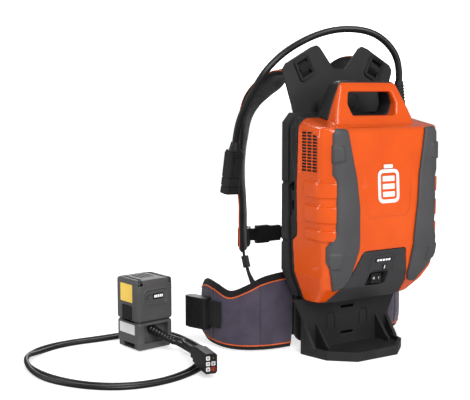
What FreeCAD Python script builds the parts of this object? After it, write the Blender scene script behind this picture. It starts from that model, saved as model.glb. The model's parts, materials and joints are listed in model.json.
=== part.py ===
import FreeCAD, Part
import math
import os
import Sketcher
from FreeCAD import Placement, Rotation, Vector

# A battery backpack for cordless garden tools, standing on its foot, with the harness, the lead that
# leaves the housing, and the separate tool adapter with its own lead beside it.
# Millimetres. The origin is the middle of the foot's underside. +Z is up, +X is the wearer's right-hand
# side seen from the front panel, -Y is the orange front and +Y is the side that the wearer stands on.

doc = FreeCAD.newDocument("battery_backpack")
sheet = doc.addObject("Spreadsheet::Sheet", "Sizes")


class Size:
    """A length from the sheet: its number now, and the expression that keeps a feature bound to it."""

    def __init__(self, text, value):
        self.text = text
        self.value = float(value)

    def joined(self, sign, other, value):
        return Size("(%s %s %s)" % (self.text, sign, text_of(other)), value)

    def __add__(self, other):
        return self.joined("+", other, self.value + number(other))

    def __sub__(self, other):
        return self.joined("-", other, self.value - number(other))

    def __mul__(self, other):
        return self.joined("*", other, self.value * number(other))

    def __truediv__(self, other):
        return self.joined("/", other, self.value / number(other))

    def __rsub__(self, other):
        return self * -1 + other


def number(value):
    return value.value if isinstance(value, Size) else float(value)


def text_of(value):
    return value.text if isinstance(value, Size) else "%.4f" % value


row_count = 0


def size(alias, value):
    """Puts one driving dimension in the next row of the sheet."""
    global row_count
    row_count += 1
    cell = "A%d" % row_count
    sheet.set(cell, str(value))
    sheet.setAlias(cell, alias)
    return Size("Sizes." + alias, value)


# ---------------------------------------------------------------- driving dimensions

case_half = size("case_half_width", 125)
case_facet_half = size("case_facet_half_width", 100)
case_front = size("case_front_reach", 81)
case_rear = size("case_rear_reach", 34)
case_top_front = size("case_top_front_height", 394)
case_top_rear = size("case_top_rear_height", 417)
wall = size("shell_wall", 3)
bumper_proud = size("bumper_proud", 5)
rib_proud = size("rib_proud", 3)
bracket_proud = size("bracket_proud", 8)
seam_y = size("seam_depth", 4)
handle_seam = size("handle_seam_depth", -20)
grip_half = size("grip_half_width", 43)
grip_low = size("grip_low_height", 414)
grip_high = size("grip_high_height", 453)
foot_front = size("foot_front_reach", 60)
foot_rear = size("foot_rear_reach", 57)
foot_half = size("foot_half_width", 96)
foot_rim = size("foot_rim_height", 16)
foot_floor = size("foot_floor_height", 9)
foot_wall_front = size("foot_wall_front", 25)
frame_front = size("frame_front_face", 36)
frame_back = size("frame_back_face", 54)
plate_front = size("yoke_plate_front", 55)
plate_back = size("yoke_plate_back", 60)
rail_gap = size("rail_half_gap", 34)
slide_clear = size("slide_clearance", 0.4)
cell_radius = size("cell_radius", 9.1)
cell_length = size("cell_length", 65)
cell_pitch = size("cell_pitch", 19.6)
lead_radius = size("power_lead_radius", 6)
cord_radius = size("adapter_lead_radius", 4)
adapter_wide = size("adapter_width", 75)
adapter_deep = size("adapter_depth", 71)
adapter_high = size("adapter_height", 127)
adapter_split = size("adapter_split_height", 52)
plug_wide = size("plug_width", 22)
plug_high = size("plug_height", 33)
back_pad_front = size("back_pad_front", 61)
lumbar_pad_front = size("lumbar_pad_front", 57)
pads_back = size("pads_back_face", 77)
pad_thick = size("shoulder_pad_thickness", 15)
belt_thick = size("hip_belt_thickness", 14)
doc.recompute()

# ---------------------------------------------------------------- construction helpers

AXES = {"XY": Vector(0, 0, 1), "XZ": Vector(0, 1, 0), "YZ": Vector(1, 0, 0)}
TURNS = {"XY": Rotation(), "XZ": Rotation(Vector(1, 0, 0), 90), "YZ": Rotation(Vector(1, 1, 1), 120)}
parts = {}


def named(name, thing):
    """Registers a finished piece under its node name."""
    thing.Label = name
    parts[name] = thing
    return thing


def bind(thing, property_name, value):
    if isinstance(value, Size):
        setattr(thing, property_name, value.value)
        thing.setExpression(property_name, value.text)
    else:
        setattr(thing, property_name, value)


def draw(sketch, points):
    """Draws a closed outline of straight lines, each corner fixed by its two distances."""
    count = len(points)
    corners = [Vector(number(u), number(v), 0) for u, v in points]
    for i in range(count):
        sketch.addGeometry(Part.LineSegment(corners[i], corners[(i + 1) % count]))
    for i in range(count):
        sketch.addConstraint(Sketcher.Constraint("Coincident", i, 2, (i + 1) % count, 1))
    for i, point in enumerate(points):
        for kind, value in zip(("DistanceX", "DistanceY"), point):
            index = sketch.addConstraint(Sketcher.Constraint(kind, i, 1, number(value)))
            if isinstance(value, Size):
                sketch.setExpression("Constraints[%d]" % index, value.text)


def profile(name, plane, points):
    sketch = doc.addObject("Sketcher::SketchObject", name)
    sketch.Placement = Placement(Vector(), TURNS[plane])
    draw(sketch, points)
    return sketch


def extruded(name, base, plane, low, high):
    solid = doc.addObject("Part::Extrusion", name)
    solid.Base = base
    solid.DirMode = "Custom"
    solid.Dir = AXES[plane]
    solid.Solid = True
    bind(solid, "LengthFwd", high)
    bind(solid, "LengthRev", low * -1)
    return solid


def prism(name, plane, points, low, high):
    return extruded(name, profile(name + "_outline", plane, points), plane, low, high)


def box(name, x, y, z):
    """A box from its low and high X, Y and Z."""
    solid = doc.addObject("Part::Box", name)
    for prop, axis, (low, high) in zip(("Length", "Width", "Height"), "xyz", (x, y, z)):
        bind(solid, prop, high - low)
        if isinstance(low, Size):
            solid.setExpression("Placement.Base." + axis, low.text)
    solid.Placement.Base = Vector(number(x[0]), number(y[0]), number(z[0]))
    return solid


def rod(name, start, direction, radius, length):
    solid = doc.addObject("Part::Cylinder", name)
    bind(solid, "Radius", radius)
    bind(solid, "Height", length)
    solid.Placement = Placement(Vector(*start), Rotation(Vector(0, 0, 1), Vector(*direction)))
    return solid


def cone(name, start, direction, radius_start, radius_end, length):
    solid = doc.addObject("Part::Cone", name)
    bind(solid, "Radius1", radius_start)
    bind(solid, "Radius2", radius_end)
    bind(solid, "Height", length)
    solid.Placement = Placement(Vector(*start), Rotation(Vector(0, 0, 1), Vector(*direction)))
    return solid


def fused(name, things):
    solid = doc.addObject("Part::MultiFuse", name)
    solid.Shapes = things
    solid.Refine = True
    return solid


def shared(name, things):
    solid = doc.addObject("Part::MultiCommon", name)
    solid.Shapes = things
    solid.Refine = True
    return solid


def cut(name, base, tool):
    solid = doc.addObject("Part::Cut", name)
    solid.Base = base
    solid.Tool = tool
    solid.Refine = True
    return solid


def mirrored(name, thing):
    """The same piece on the other side of the symmetry plane."""
    solid = doc.addObject("Part::Mirroring", name)
    solid.Source = thing
    solid.Normal = Vector(1, 0, 0)
    return solid


def both_sides(points):
    """A full outline from its right-hand half, listed from bottom to top. Middle points stay single."""
    return list(points) + [(u * -1, v) for u, v in reversed(points) if number(u)]


def feature(name, shape, placement=None):
    thing = doc.addObject("Part::Feature", name)
    thing.Shape = shape
    if placement is not None:
        thing.Placement = placement
    return thing


# ---------------------------------------------------------------- PartDesign helpers


def new_body(name):
    return doc.addObject("PartDesign::Body", name)


def body_sketch(body, name, plane, points, offset):
    sketch = body.newObject("Sketcher::SketchObject", name)
    role = plane + "_Plane"
    support = [item for item in body.Origin.OriginFeatures if item.Role == role][0]
    sketch.AttachmentSupport = [(support, "")]
    sketch.MapMode = "FlatFace"
    sketch.AttachmentOffset = Placement(Vector(0, 0, number(offset)), Rotation())
    if isinstance(offset, Size):
        sketch.setExpression("AttachmentOffset.Base.z", offset.text)
    draw(sketch, points)
    return sketch


def slab(body, name, plane, points, low, high):
    """A pad between two distances along the plane's axis. The XZ plane faces -Y, so it starts at high."""
    offset = high * -1 if plane == "XZ" else low
    pad = body.newObject("PartDesign::Pad", name)
    pad.Profile = body_sketch(body, name + "_sketch", plane, points, offset)
    bind(pad, "Length", high - low)
    return pad


def opening(body, name, plane, points, low, high):
    """A pocket between two distances along the plane's axis. It cuts against the sketch's own direction."""
    offset = low * -1 if plane == "XZ" else high
    pocket = body.newObject("PartDesign::Pocket", name)
    pocket.Profile = body_sketch(body, name + "_sketch", plane, points, offset)
    bind(pocket, "Length", high - low)
    return pocket


def rounded_edges(body, name, radius, wanted):
    """A fillet on those edges of the body so far that the test picks."""
    doc.recompute()
    tip = body.Tip
    names = ["Edge%d" % (i + 1) for i, edge in enumerate(tip.Shape.Edges) if wanted(edge)]
    fillet = body.newObject("PartDesign::Fillet", name)
    fillet.Base = (tip, names)
    fillet.Radius = radius
    return fillet


def runs_along(edge, axis):
    """True for a straight edge that runs along one of the axes."""
    if edge.Curve.TypeId != "Part::GeomLine":
        return False
    return abs(edge.tangentAt(edge.FirstParameter).dot(axis)) > 0.999


def lies_behind(edge, y):
    """True for an edge whose ends both lie on or behind a distance from the front."""
    return min(edge.Vertexes[0].Point.y, edge.Vertexes[-1].Point.y) > number(y) - 0.1


def rectangle(cx, cy, wide, high, turn=0):
    """The corners of a rectangle about a centre, turned by some degrees."""
    cosine, sine = math.cos(math.radians(turn)), math.sin(math.radians(turn))
    corners = [(-wide / 2, -high / 2), (wide / 2, -high / 2), (wide / 2, high / 2), (-wide / 2, high / 2)]
    return [(cx + u * cosine - v * sine, cy + u * sine + v * cosine) for u, v in corners]


# ---------------------------------------------------------------- screws


def screw(point, direction, head_radius, head_high, shank_radius, length):
    """A cap screw: its head stands at the point, and its shank runs back along the direction."""
    along = Vector(*direction)
    start = Vector(*point)
    head = Part.makeCylinder(head_radius, head_high, start, along)
    socket = Part.makeCylinder(head_radius * 0.5, head_high * 0.5, start, along)
    shank_start = start.add(Vector(along).multiply(head_high - 0.01))
    shank = Part.makeCylinder(shank_radius, length, shank_start, along)
    return head.cut(socket).fuse(shank)


def screw_group(name, points, direction, *sizes):
    screws = Part.makeCompound([screw(point, direction, *sizes) for point in points])
    return named(name, feature(name + "_shapes", screws))


def screw_holes(name, points, direction, radius, length):
    drills = [Part.makeCylinder(radius, length, Vector(*point), Vector(*direction)) for point in points]
    return feature(name, Part.makeCompound(drills))


screw_radius, head_radius, head_high = 2, 4, 4
frame_screw_points = [(x, frame_front.value + 5 + head_high, z) for x in (-98, 98) for z in (150, 268, 385)]
screw_group("case_screws", frame_screw_points, (0, -1, 0), head_radius, head_high, screw_radius, 10)
frame_hole_points = [(x, 46, z) for x, y, z in frame_screw_points]
frame_screw_holes = screw_holes("frame_screw_holes", frame_hole_points, (0, -1, 0), screw_radius, 30)
foot_screw_points = [(x, 45, 72.4) for x in (-60, 60)]
screw_group("foot_screws", foot_screw_points, (0, 0, 1), head_radius, head_high, screw_radius, 32)
foot_well_points = [(x, y, z - 3) for x, y, z in foot_screw_points]
foot_screw_holes = fused("foot_screw_drills", [
    screw_holes("foot_screw_holes", foot_screw_points, (0, 0, 1), screw_radius, 40),
    screw_holes("foot_screw_wells", foot_well_points, (0, 0, 1), head_radius + 0.3, 7.05)])

# ---------------------------------------------------------------- the case envelope
# The case is where three prisms meet: its side view, its plan and its front view.

side_view = profile("case_side_view", "YZ", [
    (-72, case_top_front), (case_front * -1 + 1, 268), (-76, 196), (-61, 153), (-47, 127), (-16, 97),
    (25, 80), (case_rear, 82), (case_rear, case_top_rear)])
plan_view = profile("case_plan_view", "XY", [
    (case_half * -1, 60), (case_half * -1, -56), (case_facet_half * -1, case_front * -1),
    (case_facet_half, case_front * -1), (case_half, -56), (case_half, 60)])
front_view = profile("case_front_view", "XZ", both_sides([
    (0, 87), (61, 90.5), (98, 98), (119, 150), (121, 200), (case_half, 300), (case_half, 396),
    (113, 412), (113, 440)]))


def grown(name, view, amount):
    """The same outline moved out by an amount, or in if it is negative."""
    moved = doc.addObject("Part::Offset2D", name)
    moved.Source = view
    moved.Join = "Intersection"
    bind(moved, "Value", amount)
    return moved


def envelope(name, amount):
    """The solid inside all three views, grown all round by an amount."""
    views = [(side_view, "YZ", -160, 160), (plan_view, "XY", 60, 460), (front_view, "XZ", -120, 60)]
    solids = []
    for i, (view, plane, low, high) in enumerate(views):
        base = grown("%s_view_%d" % (name, i), view, amount) if number(amount) else view
        solids.append(extruded("%s_prism_%d" % (name, i), base, plane, low, high))
    return shared(name, solids)


outer = envelope("case_outer", 0)
inner = envelope("case_inner", wall * -1)
shell = cut("case_shell", outer, inner)

seam_line = [(22, 60), (22, 161), (24, 204), (11, 214), (9, 290), (6, 357), (seam_y, 399), (seam_y, 440)]
front_zone = prism("front_zone", "YZ", [(-110, 60)] + seam_line + [(-110, 440)], -160, 160)
seal_thick = 1.6
seal_outline = seam_line + [(v + seal_thick, w) for v, w in reversed(seam_line)]
seal_zone = prism("seal_zone", "YZ", seal_outline, -160, 160)

# the handle: a trapezium in front view, leaning back in side view, with a grip opening
handle_side = prism("handle_side", "YZ", [
    (-48, 396), (-24, 466), (-19, 471), (-4, 473), (8, 467), (13, 426), (15, 404)], -90, 90)
handle_front = prism("handle_front", "XZ", both_sides([
    (0, 390), (86, 390), (83, 408), (76, 430), (62, 464), (55, 474), (0, 474)]), -60, 30)
grip_opening = prism("grip_opening", "XZ", [
    (grip_half * -1, grip_low), (grip_half, grip_low), (49, 433), (grip_half, grip_high),
    (grip_half * -1, grip_high), (-49, 433)], -70, 40)
handle_block = cut("handle_block", shared("handle_solid", [handle_side, handle_front]), grip_opening)
handle_shell = cut("handle_shell", handle_block, outer)
handle_split = box("handle_split", (-100, 100), (-70, handle_seam), (380, 480))
handle_orange = shared("handle_orange", [handle_shell, handle_split])
handle_black = cut("handle_black", handle_shell, handle_split)

# raised ribs that wrap the front corners, and the rows of vent slots in the side walls
ribs_block = cut("ribs_block", envelope("case_rib_skin", rib_proud), outer)
rib_bands = []
for i, (low, high) in enumerate([(211, 231), (241, 270), (282, 309)]):
    for side in (-1, 1):
        x = (107, 140) if side > 0 else (-140, -107)
        rib_bands.append(box("rib_band_%d_%d" % (i, side), x, (-78, -14), (low, high)))
ribs = shared("ribs", [ribs_block, fused("rib_bands", rib_bands)])

slot_rows, slot_columns = 13, 3
vent_slots = []
for row in range(slot_rows):
    for column in range(slot_columns):
        y = -45 + column * 14.5
        z = 324 + row * 5.1
        if column == 0 and row == slot_rows - 1:
            continue
        vent_slots.append(box("vent_slot_%d_%d" % (row, column), (-130, 130), (y, y + 12), (z, z + 3)))
slots = fused("vent_slots", vent_slots)

panel_outline = both_sides([(0, 70), (80, 70), (80, 100), (60, 150), (50, 176), (46, 190), (0, 190)])
panel_zone = prism("panel_zone", "XZ", panel_outline, -110, 22)
panel_skin = cut("panel_skin", envelope("panel_outer", 1), envelope("panel_inner", -2.9))

cover_shell = shared("cover_shell", [shell, front_zone])
cover_open = cut("cover_open", cover_shell, fused("cover_cuts", [slots, panel_zone, seal_zone]))
front_cover = named("front_cover", fused("cover", [cover_open, handle_orange, ribs]))

recess_outline = [(15, 307), (36, 295), (36, 236), (18, 252)]
side_recess = []
for side in (-1, 1):
    x = (121.5, 140) if side > 0 else (-140, -121.5)
    side_recess.append(prism("side_recess_%d" % side, "YZ", recess_outline, *x))
gland_x, gland_y, gland_radius = 105, 18, 6.9
gland_hole = rod("gland_hole", (gland_x, gland_y, 395), AXES["XY"], gland_radius, 40)
housing_cuts = fused("housing_cuts", [front_zone, seal_zone, gland_hole, frame_screw_holes] + side_recess)
housing_shell = cut("housing_shell", shell, housing_cuts)
rear_housing = named("rear_housing", fused("housing", [housing_shell, handle_black]))

seal_ring = cut("seal_ring", envelope("seal_outer", -0.8), envelope("seal_inner", -2.6))
named("case_gasket", shared("gasket", [seal_ring, seal_zone]))

# ---------------------------------------------------------------- bumpers on the front corners

bumper_outline = [
    (83, 394), (75, 352), (67, 314), (62, 262), (58.5, 206), (60.5, 180), (66, 150), (74, 139), (92, 137),
    (105, 160), (118, 178), (118, 205), (107, 221), (106.5, 311), (112, 321), (112, 386), (104, 396)]
bumper_zone = prism("bumper_zone", "XZ", bumper_outline, -110, -22)
bumper_skin = cut("bumper_skin", envelope("bumper_outer", bumper_proud), outer)
bracket_skin = cut("bracket_skin", envelope("bracket_outer", bracket_proud), outer)
bracket_zone = fused("bracket_zone", [
    prism("bracket_high", "XZ", [(93, 343), (113, 340), (113, 369), (96, 366)], -110, -22),
    prism("bracket_low", "XZ", [(94, 160), (104, 160), (117, 180), (117, 190), (96, 190)], -110, -22)])
bumper = fused("bumper", [
    shared("bumper_band", [bumper_skin, bumper_zone]), shared("brackets", [bracket_skin, bracket_zone])])
bumper_right = named("bumper_right", cut("bumper_trimmed", bumper, ribs))
named("bumper_left", mirrored("bumper_mirror", bumper_right))

# ---------------------------------------------------------------- control panel, lamps, button, switch

panel_tilt = 19.2
panel_point = Vector(0, -68, 173)
panel_out = Vector(0, -math.cos(math.radians(panel_tilt)), -math.sin(math.radians(panel_tilt)))
panel_place = Placement(panel_point, Rotation(Vector(1, 0, 0), panel_tilt))


def on_panel(thing):
    """Places a piece that was drawn flat, its outer face towards -Y, on the sloping control panel."""
    thing.Placement = panel_place.multiply(thing.Placement)
    return thing


switch_pivot = (0, -45.5, 139)
switch_half = 11
switch_tilt = 7
window_size = ((-17, 19), (-1.6, 0.6), (-3.5, 3.5))
button_size = ((2.3, 9.7), (-2.4, 4), (-18.2, -8.8))
button_hole = on_panel(box("button_hole", (2, 10), (-10, 10), (-18.5, -8.5)))
window_hole = on_panel(box("window_hole", (-17, 19), (-10, 0.6), (-3.5, 3.5)))
window_seat = on_panel(box("window_seat", (-20, 22), (0, 2.2), (-5.5, 5.5)))
tub_outer = box("switch_tub_outer", (-24, 24), (-68, -36), (124, 155))
tub_inner = box("switch_tub_inner", (-22, 22), (-90, -38), (126, 153))
panel_solid = fused("panel_solid", [
    shared("panel_plate", [panel_skin, panel_zone]),
    shared("switch_tub", [tub_outer, envelope("tub_limit", 1)]), window_seat])
pivot_hole = rod("switch_pivot_hole", (-25, switch_pivot[1], switch_pivot[2]), (1, 0, 0), 2, 50)
panel_cuts = fused("panel_cuts", [tub_inner, button_hole, window_hole, pivot_hole])
named("control_panel", cut("panel_cut", panel_solid, panel_cuts))
named("charge_window", on_panel(box("lamp_window", *window_size)))
named("charge_button", on_panel(box("lamp_button", *button_size)))

rocker = fused("rocker", [
    prism("rocker_cap", "YZ", [(-7, -8.5), (-6, 8.5), (-4, 8.5), (3, 3.5), (3, -3.5), (-4, -8.5)],
          -switch_half, switch_half),
    rod("rocker_axle", (-23.6, 0, 0), (1, 0, 0), 1.95, 47.2)])
rocker.Placement = Placement(Vector(*switch_pivot), Rotation(Vector(1, 0, 0), switch_tilt))
named("power_switch", rocker)

# ---------------------------------------------------------------- inside the case

cell_columns, cell_rows = 11, 10
cell_low_z = 168
cell_front = -42


def cell_centres():
    for column in range(cell_columns):
        for row in range(cell_rows):
            x = (column - (cell_columns - 1) / 2) * cell_pitch.value
            yield x, cell_low_z + row * cell_pitch.value


def cylinders(radius, front, length):
    return [Part.makeCylinder(radius, length, Vector(x, front, z), AXES["XZ"]) for x, z in cell_centres()]


cells = cylinders(cell_radius.value, cell_front, cell_length.value)
named("battery_cells", feature("cells", Part.makeCompound(cells)))
cell_back = cell_front + cell_length.value
holder_thick, strip_thick = 8, 0.8
block_half_x = (cell_columns / 2) * cell_pitch.value + 1
block_low, block_high = cell_low_z - 11, cell_low_z + (cell_rows - 1) * cell_pitch.value + 11
for name, front in (("cell_holder_front", cell_front + 1), ("cell_holder_rear", cell_back - holder_thick - 1)):
    corner = Vector(-block_half_x, front, block_low)
    plate = Part.makeBox(2 * block_half_x, holder_thick, block_high - block_low, corner)
    holes = Part.makeCompound(cylinders(cell_radius.value + 0.05, front - 1, holder_thick + 2))
    named(name, feature(name + "_plate", plate.cut(holes)))
strips = []
for row in range(cell_rows):
    for front in (cell_front - strip_thick, cell_back):
        corner = Vector(-block_half_x + 3, front, cell_low_z + row * cell_pitch.value - 4)
        strips.append(Part.makeBox(2 * block_half_x - 6, strip_thick, 8, corner))
named("busbars", feature("busbar_strips", Part.makeCompound(strips)))

board = new_body("board_body")
slab(board, "board_plate", "XZ", [(-42, -15), (42, -15), (42, 15), (-42, 15)], 8, 9.6)
slab(board, "board_chips", "XZ", [(-30, -6), (-12, -6), (-12, 10), (-30, 10)], 9.6, 12)
slab(board, "board_relay", "XZ", [(14, -8), (34, -8), (34, 10), (14, 10)], 9.6, 15)
board.Placement = panel_place
named("control_board", board)

screen_right = box("vent_screen_right", (120.2, 121.9), (-48, 0), (319, 394))
named("vent_screens", fused("screens", [screen_right, mirrored("vent_screen_left", screen_right)]))

# ---------------------------------------------------------------- foot

foot = new_body("foot_body")
foot_plan = [
    (-44, foot_front * -1), (44, foot_front * -1), (84, -25), (foot_half, 27), (foot_half, foot_rear),
    (foot_half * -1, foot_rear), (foot_half * -1, 27), (-84, -25)]
slab(foot, "foot_tray", "XY", foot_plan, 0, foot_rim)
foot_wall_outline = both_sides([
    (0, 8), (foot_half, 8), (foot_half - 1, 55), (104, 76), (117, 99.5), (98, 98), (61, 90.5), (0, 87)])
slab(foot, "foot_wall", "XZ", foot_wall_outline, foot_wall_front, foot_rear)
tray_front = foot_front * -1 + 6
tray_outline = [(-41, tray_front), (41, tray_front), (79, -22), (90, 24.9), (-90, 24.9), (-79, -22)]
opening(foot, "tray_recess", "XY", tray_outline, foot_floor, foot_rim + 1)
for side in (-1, 1):
    x = (64.5, 69.5) if side > 0 else (-69.5, -64.5)
    slab(foot, "gusset_%d" % (side + 2), "YZ", [(26, 54), (26, 8), (-12, 8), (-12, 16), (-6, 20)], *x)
    wing = (88, 94) if side > 0 else (-94, -88)
    slab(foot, "wing_%d" % (side + 2), "YZ", [(26, 52), (26, 10), (-2, 10), (-2, 16)], *wing)
slab(foot, "foot_flange", "XZ", [(-90, 82), (90, 82), (90, 101), (-90, 101)], frame_front, frame_back)
for i, z in enumerate((28, 75)):
    opening(foot, "wall_slot_%d" % i, "XZ", rectangle(0, z, 28, 4.6), 20, 60)
wall_hollow_outline = both_sides([(0, 12), (70, 12), (70, 55), (72, 72), (60, 78), (0, 70)])
opening(foot, "wall_hollow", "XZ", wall_hollow_outline, foot_wall_front + 5, foot_rear + 1)
for side in (-1, 1):
    rear_corner = [(76, 60), (130, 60), (130, 30), (98, 30)]
    opening(foot, "rear_corner_%d" % (side + 2), "XY", [(x * side, y) for x, y in rear_corner], -1, 103)


def arch(cx, low, high, half, steps=6):
    """An upright arch: two legs and a round top."""
    top = [(cx + half * math.cos(math.pi * i / steps), high - half + half * math.sin(math.pi * i / steps))
           for i in range(steps + 1)]
    return [(cx - half, low), (cx + half, low)] + top


foot_groove = []
for side in (-1, 1):
    wide_arch = prism("arch_wide_%d" % side, "XZ", arch(36.5 * side, 37, 68, 9.5), 24, 26.2)
    slim_arch = prism("arch_slim_%d" % side, "XZ", arch(36.5 * side, 36, 66.2, 7.7), 23, 28)
    foot_groove.append(cut("arch_groove_%d" % side, wide_arch, slim_arch))
named("stand_foot", cut("foot_grooved", foot, fused("foot_cuts", foot_groove + [foot_screw_holes])))

# ---------------------------------------------------------------- harness frame

frame = new_body("frame_body")
frame_outline = both_sides([
    (0, 101), (98, 101), (123, 150), (123, 196), (120, 200), (123, 204), (123, 296), (120, 300), (123, 304),
    (123, 402), (109, 418), (0, 418)])
slab(frame, "frame_slab", "XZ", frame_outline, frame_front, frame_back)
frame_hollow_outline = both_sides([(0, 112), (92, 112), (112, 154), (112, 398), (104, 407), (0, 407)])
opening(frame, "frame_hollow", "XZ", frame_hollow_outline, frame_front + 3, frame_back + 1)


def upright(low, high, bottom, top):
    """The corners of a rectangle between two widths and two heights."""
    return [(low, bottom), (high, bottom), (high, top), (low, top)]


for side in (-1, 1):
    rail = (rail_gap, rail_gap + 8) if side > 0 else (rail_gap * -1 - 8, rail_gap * -1)
    slab(frame, "rail_%d" % (side + 2), "XZ", upright(*rail, 110, 409), frame_front + 2, frame_back)
    boss = (62, 86) if side > 0 else (-86, -62)
    slab(frame, "pad_boss_%d" % (side + 2), "XZ", upright(*boss, 190, 335), frame_front + 2, back_pad_front)
slab(frame, "lumbar_boss", "XZ", upright(-70, 70, 104, 145), frame_front + 2, lumbar_pad_front)
opening(frame, "rail_mouth", "XZ", upright(rail_gap * -1, rail_gap, 150, 420), frame_front + 5, frame_back + 5)
hook_outline = [(-56, 416), (-42, 416), (-42, 428), (-46, 435), (-52, 437), (-56, 434)]
slab(frame, "hook_stem", "XZ", hook_outline, 40, 47)
for i, (x, y, z) in enumerate(frame_screw_points):
    slab(frame, "spacer_%d" % i, "XZ", rectangle(x, z, 14, 14), case_rear, frame_front + 5)
frame_drills = fused("frame_drills", [frame_screw_holes, foot_screw_holes])
named("harness_frame", cut("frame_drilled", frame, frame_drills))

# ---------------------------------------------------------------- yoke, its buckles, webbing and lock knob

buckle_turn = 27
buckle_x, buckle_z = 77, 494
yoke = new_body("yoke_body")
yoke_outline = both_sides([
    (0, 402), (90, 402), (97, 418), (119, 484), (120, 492), (114, 501), (62, 529), (50, 533), (43, 529),
    (13, 493), (0, 493)])
slab(yoke, "yoke_sheet", "XZ", yoke_outline, plate_front, plate_back)
tongue_outline = upright(rail_gap * -1 + slide_clear, rail_gap - slide_clear, 330, 404)
slab(yoke, "yoke_tongue", "XZ", tongue_outline, frame_front + 8, plate_back)
for side in (-1, 1):
    opening(yoke, "buckle_window_%d" % (side + 2), "XZ",
            rectangle(buckle_x * side, buckle_z, 27, 33, -buckle_turn * side), 50, 65)


def yoke_corner(edge):
    """True for the plate's outline corners away from the two buckle windows."""
    point = edge.Vertexes[0].Point
    beside_window = abs(abs(point.x) - buckle_x) > 22.5
    return runs_along(edge, AXES["XZ"]) and edge.Length < 6 and point.z > 403 and beside_window


rounded_edges(yoke, "yoke_corners", 3, yoke_corner)
knob_point = (0, 60.3, 425)
knob_hole = rod("knob_hole", (0, 50, knob_point[2]), (0, 1, 0), 5, 20)
round_recess = rod("round_recess", (31, 54, 436), (0, 1, 0), 13, 1.8)
round_island = rod("round_island", (31, 53, 436), (0, 1, 0), 11.4, 5)
ring_groove = cut("ring_groove", round_recess, round_island)
named("yoke_plate", cut("yoke_drilled", yoke, fused("yoke_cuts", [knob_hole, ring_groove])))


def place_on_yoke(thing, side):
    """Turns a piece drawn about the origin in the plate's plane and sets it in its window."""
    turned = Placement(Vector(buckle_x * side, 0, buckle_z), Rotation(Vector(0, 1, 0), buckle_turn * side))
    thing.Placement = turned.multiply(thing.Placement)
    return thing


ladders, webs = [], {}
for side in (-1, 1):
    flange = box("ladder_flange_%d" % side, (-17, 17), (53, plate_front), (-20, 20))
    core = box("ladder_core_%d" % side, (-13.5, 13.5), (53, 60.5), (-16.5, 16.5))
    gaps = fused("ladder_gaps_%d" % side, [
        box("ladder_gap_low_%d" % side, (-11, 11), (50, 64), (-12, -4)),
        box("ladder_gap_high_%d" % side, (-11, 11), (50, 64), (4, 12))])
    ladder = cut("ladder_%d" % side, fused("ladder_solid_%d" % side, [flange, core]), gaps)
    ladders.append(place_on_yoke(ladder, side))
    webs[side] = place_on_yoke(box("yoke_web_%d" % side, (-12.5, 12.5), (60.5, 63), (-26, 14)), side)
named("ladder_buckles", fused("ladder_pair", ladders))
named("yoke_webbing_left", webs[-1])
named("yoke_webbing_right", webs[1])

knob = new_body("knob_body")
knob_radius, knob_back = 13, 73
knob_turns = [math.radians(degrees) for degrees in range(0, 360, 30)]
knob_ring = [(knob_radius * math.cos(a), knob_point[2] + knob_radius * math.sin(a)) for a in knob_turns]
slab(knob, "knob_disc", "XZ", knob_ring, knob_point[1], 66)
slab(knob, "knob_grip", "XZ", rectangle(0, knob_point[2], 22, 6), 66, knob_back)
rounded_edges(knob, "knob_round", 1, lambda edge: lies_behind(edge, knob_back))
knob_stem = rod("knob_stem", (0, 51, knob_point[2]), AXES["XZ"], 4.95, 12)
named("yoke_lock_knob", fused("knob_solid", [knob, knob_stem]))

# ---------------------------------------------------------------- soft harness pieces


def band(name, stations, thick, corner=0.28):
    """A closed strap: an eight-cornered section at each station, joined by straight-sided faces.

    A station is the middle of the section, the direction of its width, and its width."""
    middles = [Vector(*middle) for middle, direction, wide in stations]
    rings = []
    for i, (middle, direction, wide) in enumerate(stations):
        before, after = middles[max(i - 1, 0)], middles[min(i + 1, len(middles) - 1)]
        along = after.sub(before).normalize()
        across = Vector(*direction)
        across = across.sub(Vector(along).multiply(across.dot(along))).normalize()
        normal = along.cross(across)
        bevel = thick * corner
        corners = [(-wide / 2, -thick / 2 + bevel), (-wide / 2 + bevel, -thick / 2),
                   (wide / 2 - bevel, -thick / 2), (wide / 2, -thick / 2 + bevel),
                   (wide / 2, thick / 2 - bevel), (wide / 2 - bevel, thick / 2),
                   (-wide / 2 + bevel, thick / 2), (-wide / 2, thick / 2 - bevel)]
        ring = [middles[i] + Vector(across).multiply(u) + Vector(normal).multiply(v) for u, v in corners]
        rings.append(Part.makePolygon(ring + [ring[0]]))
    return named(name, feature(name + "_band", Part.makeLoft(rings, True, True)))


def other_side(stations):
    return [((-m[0], m[1], m[2]), (-d[0], d[1], d[2]), wide) for m, d, wide in stations]


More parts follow.
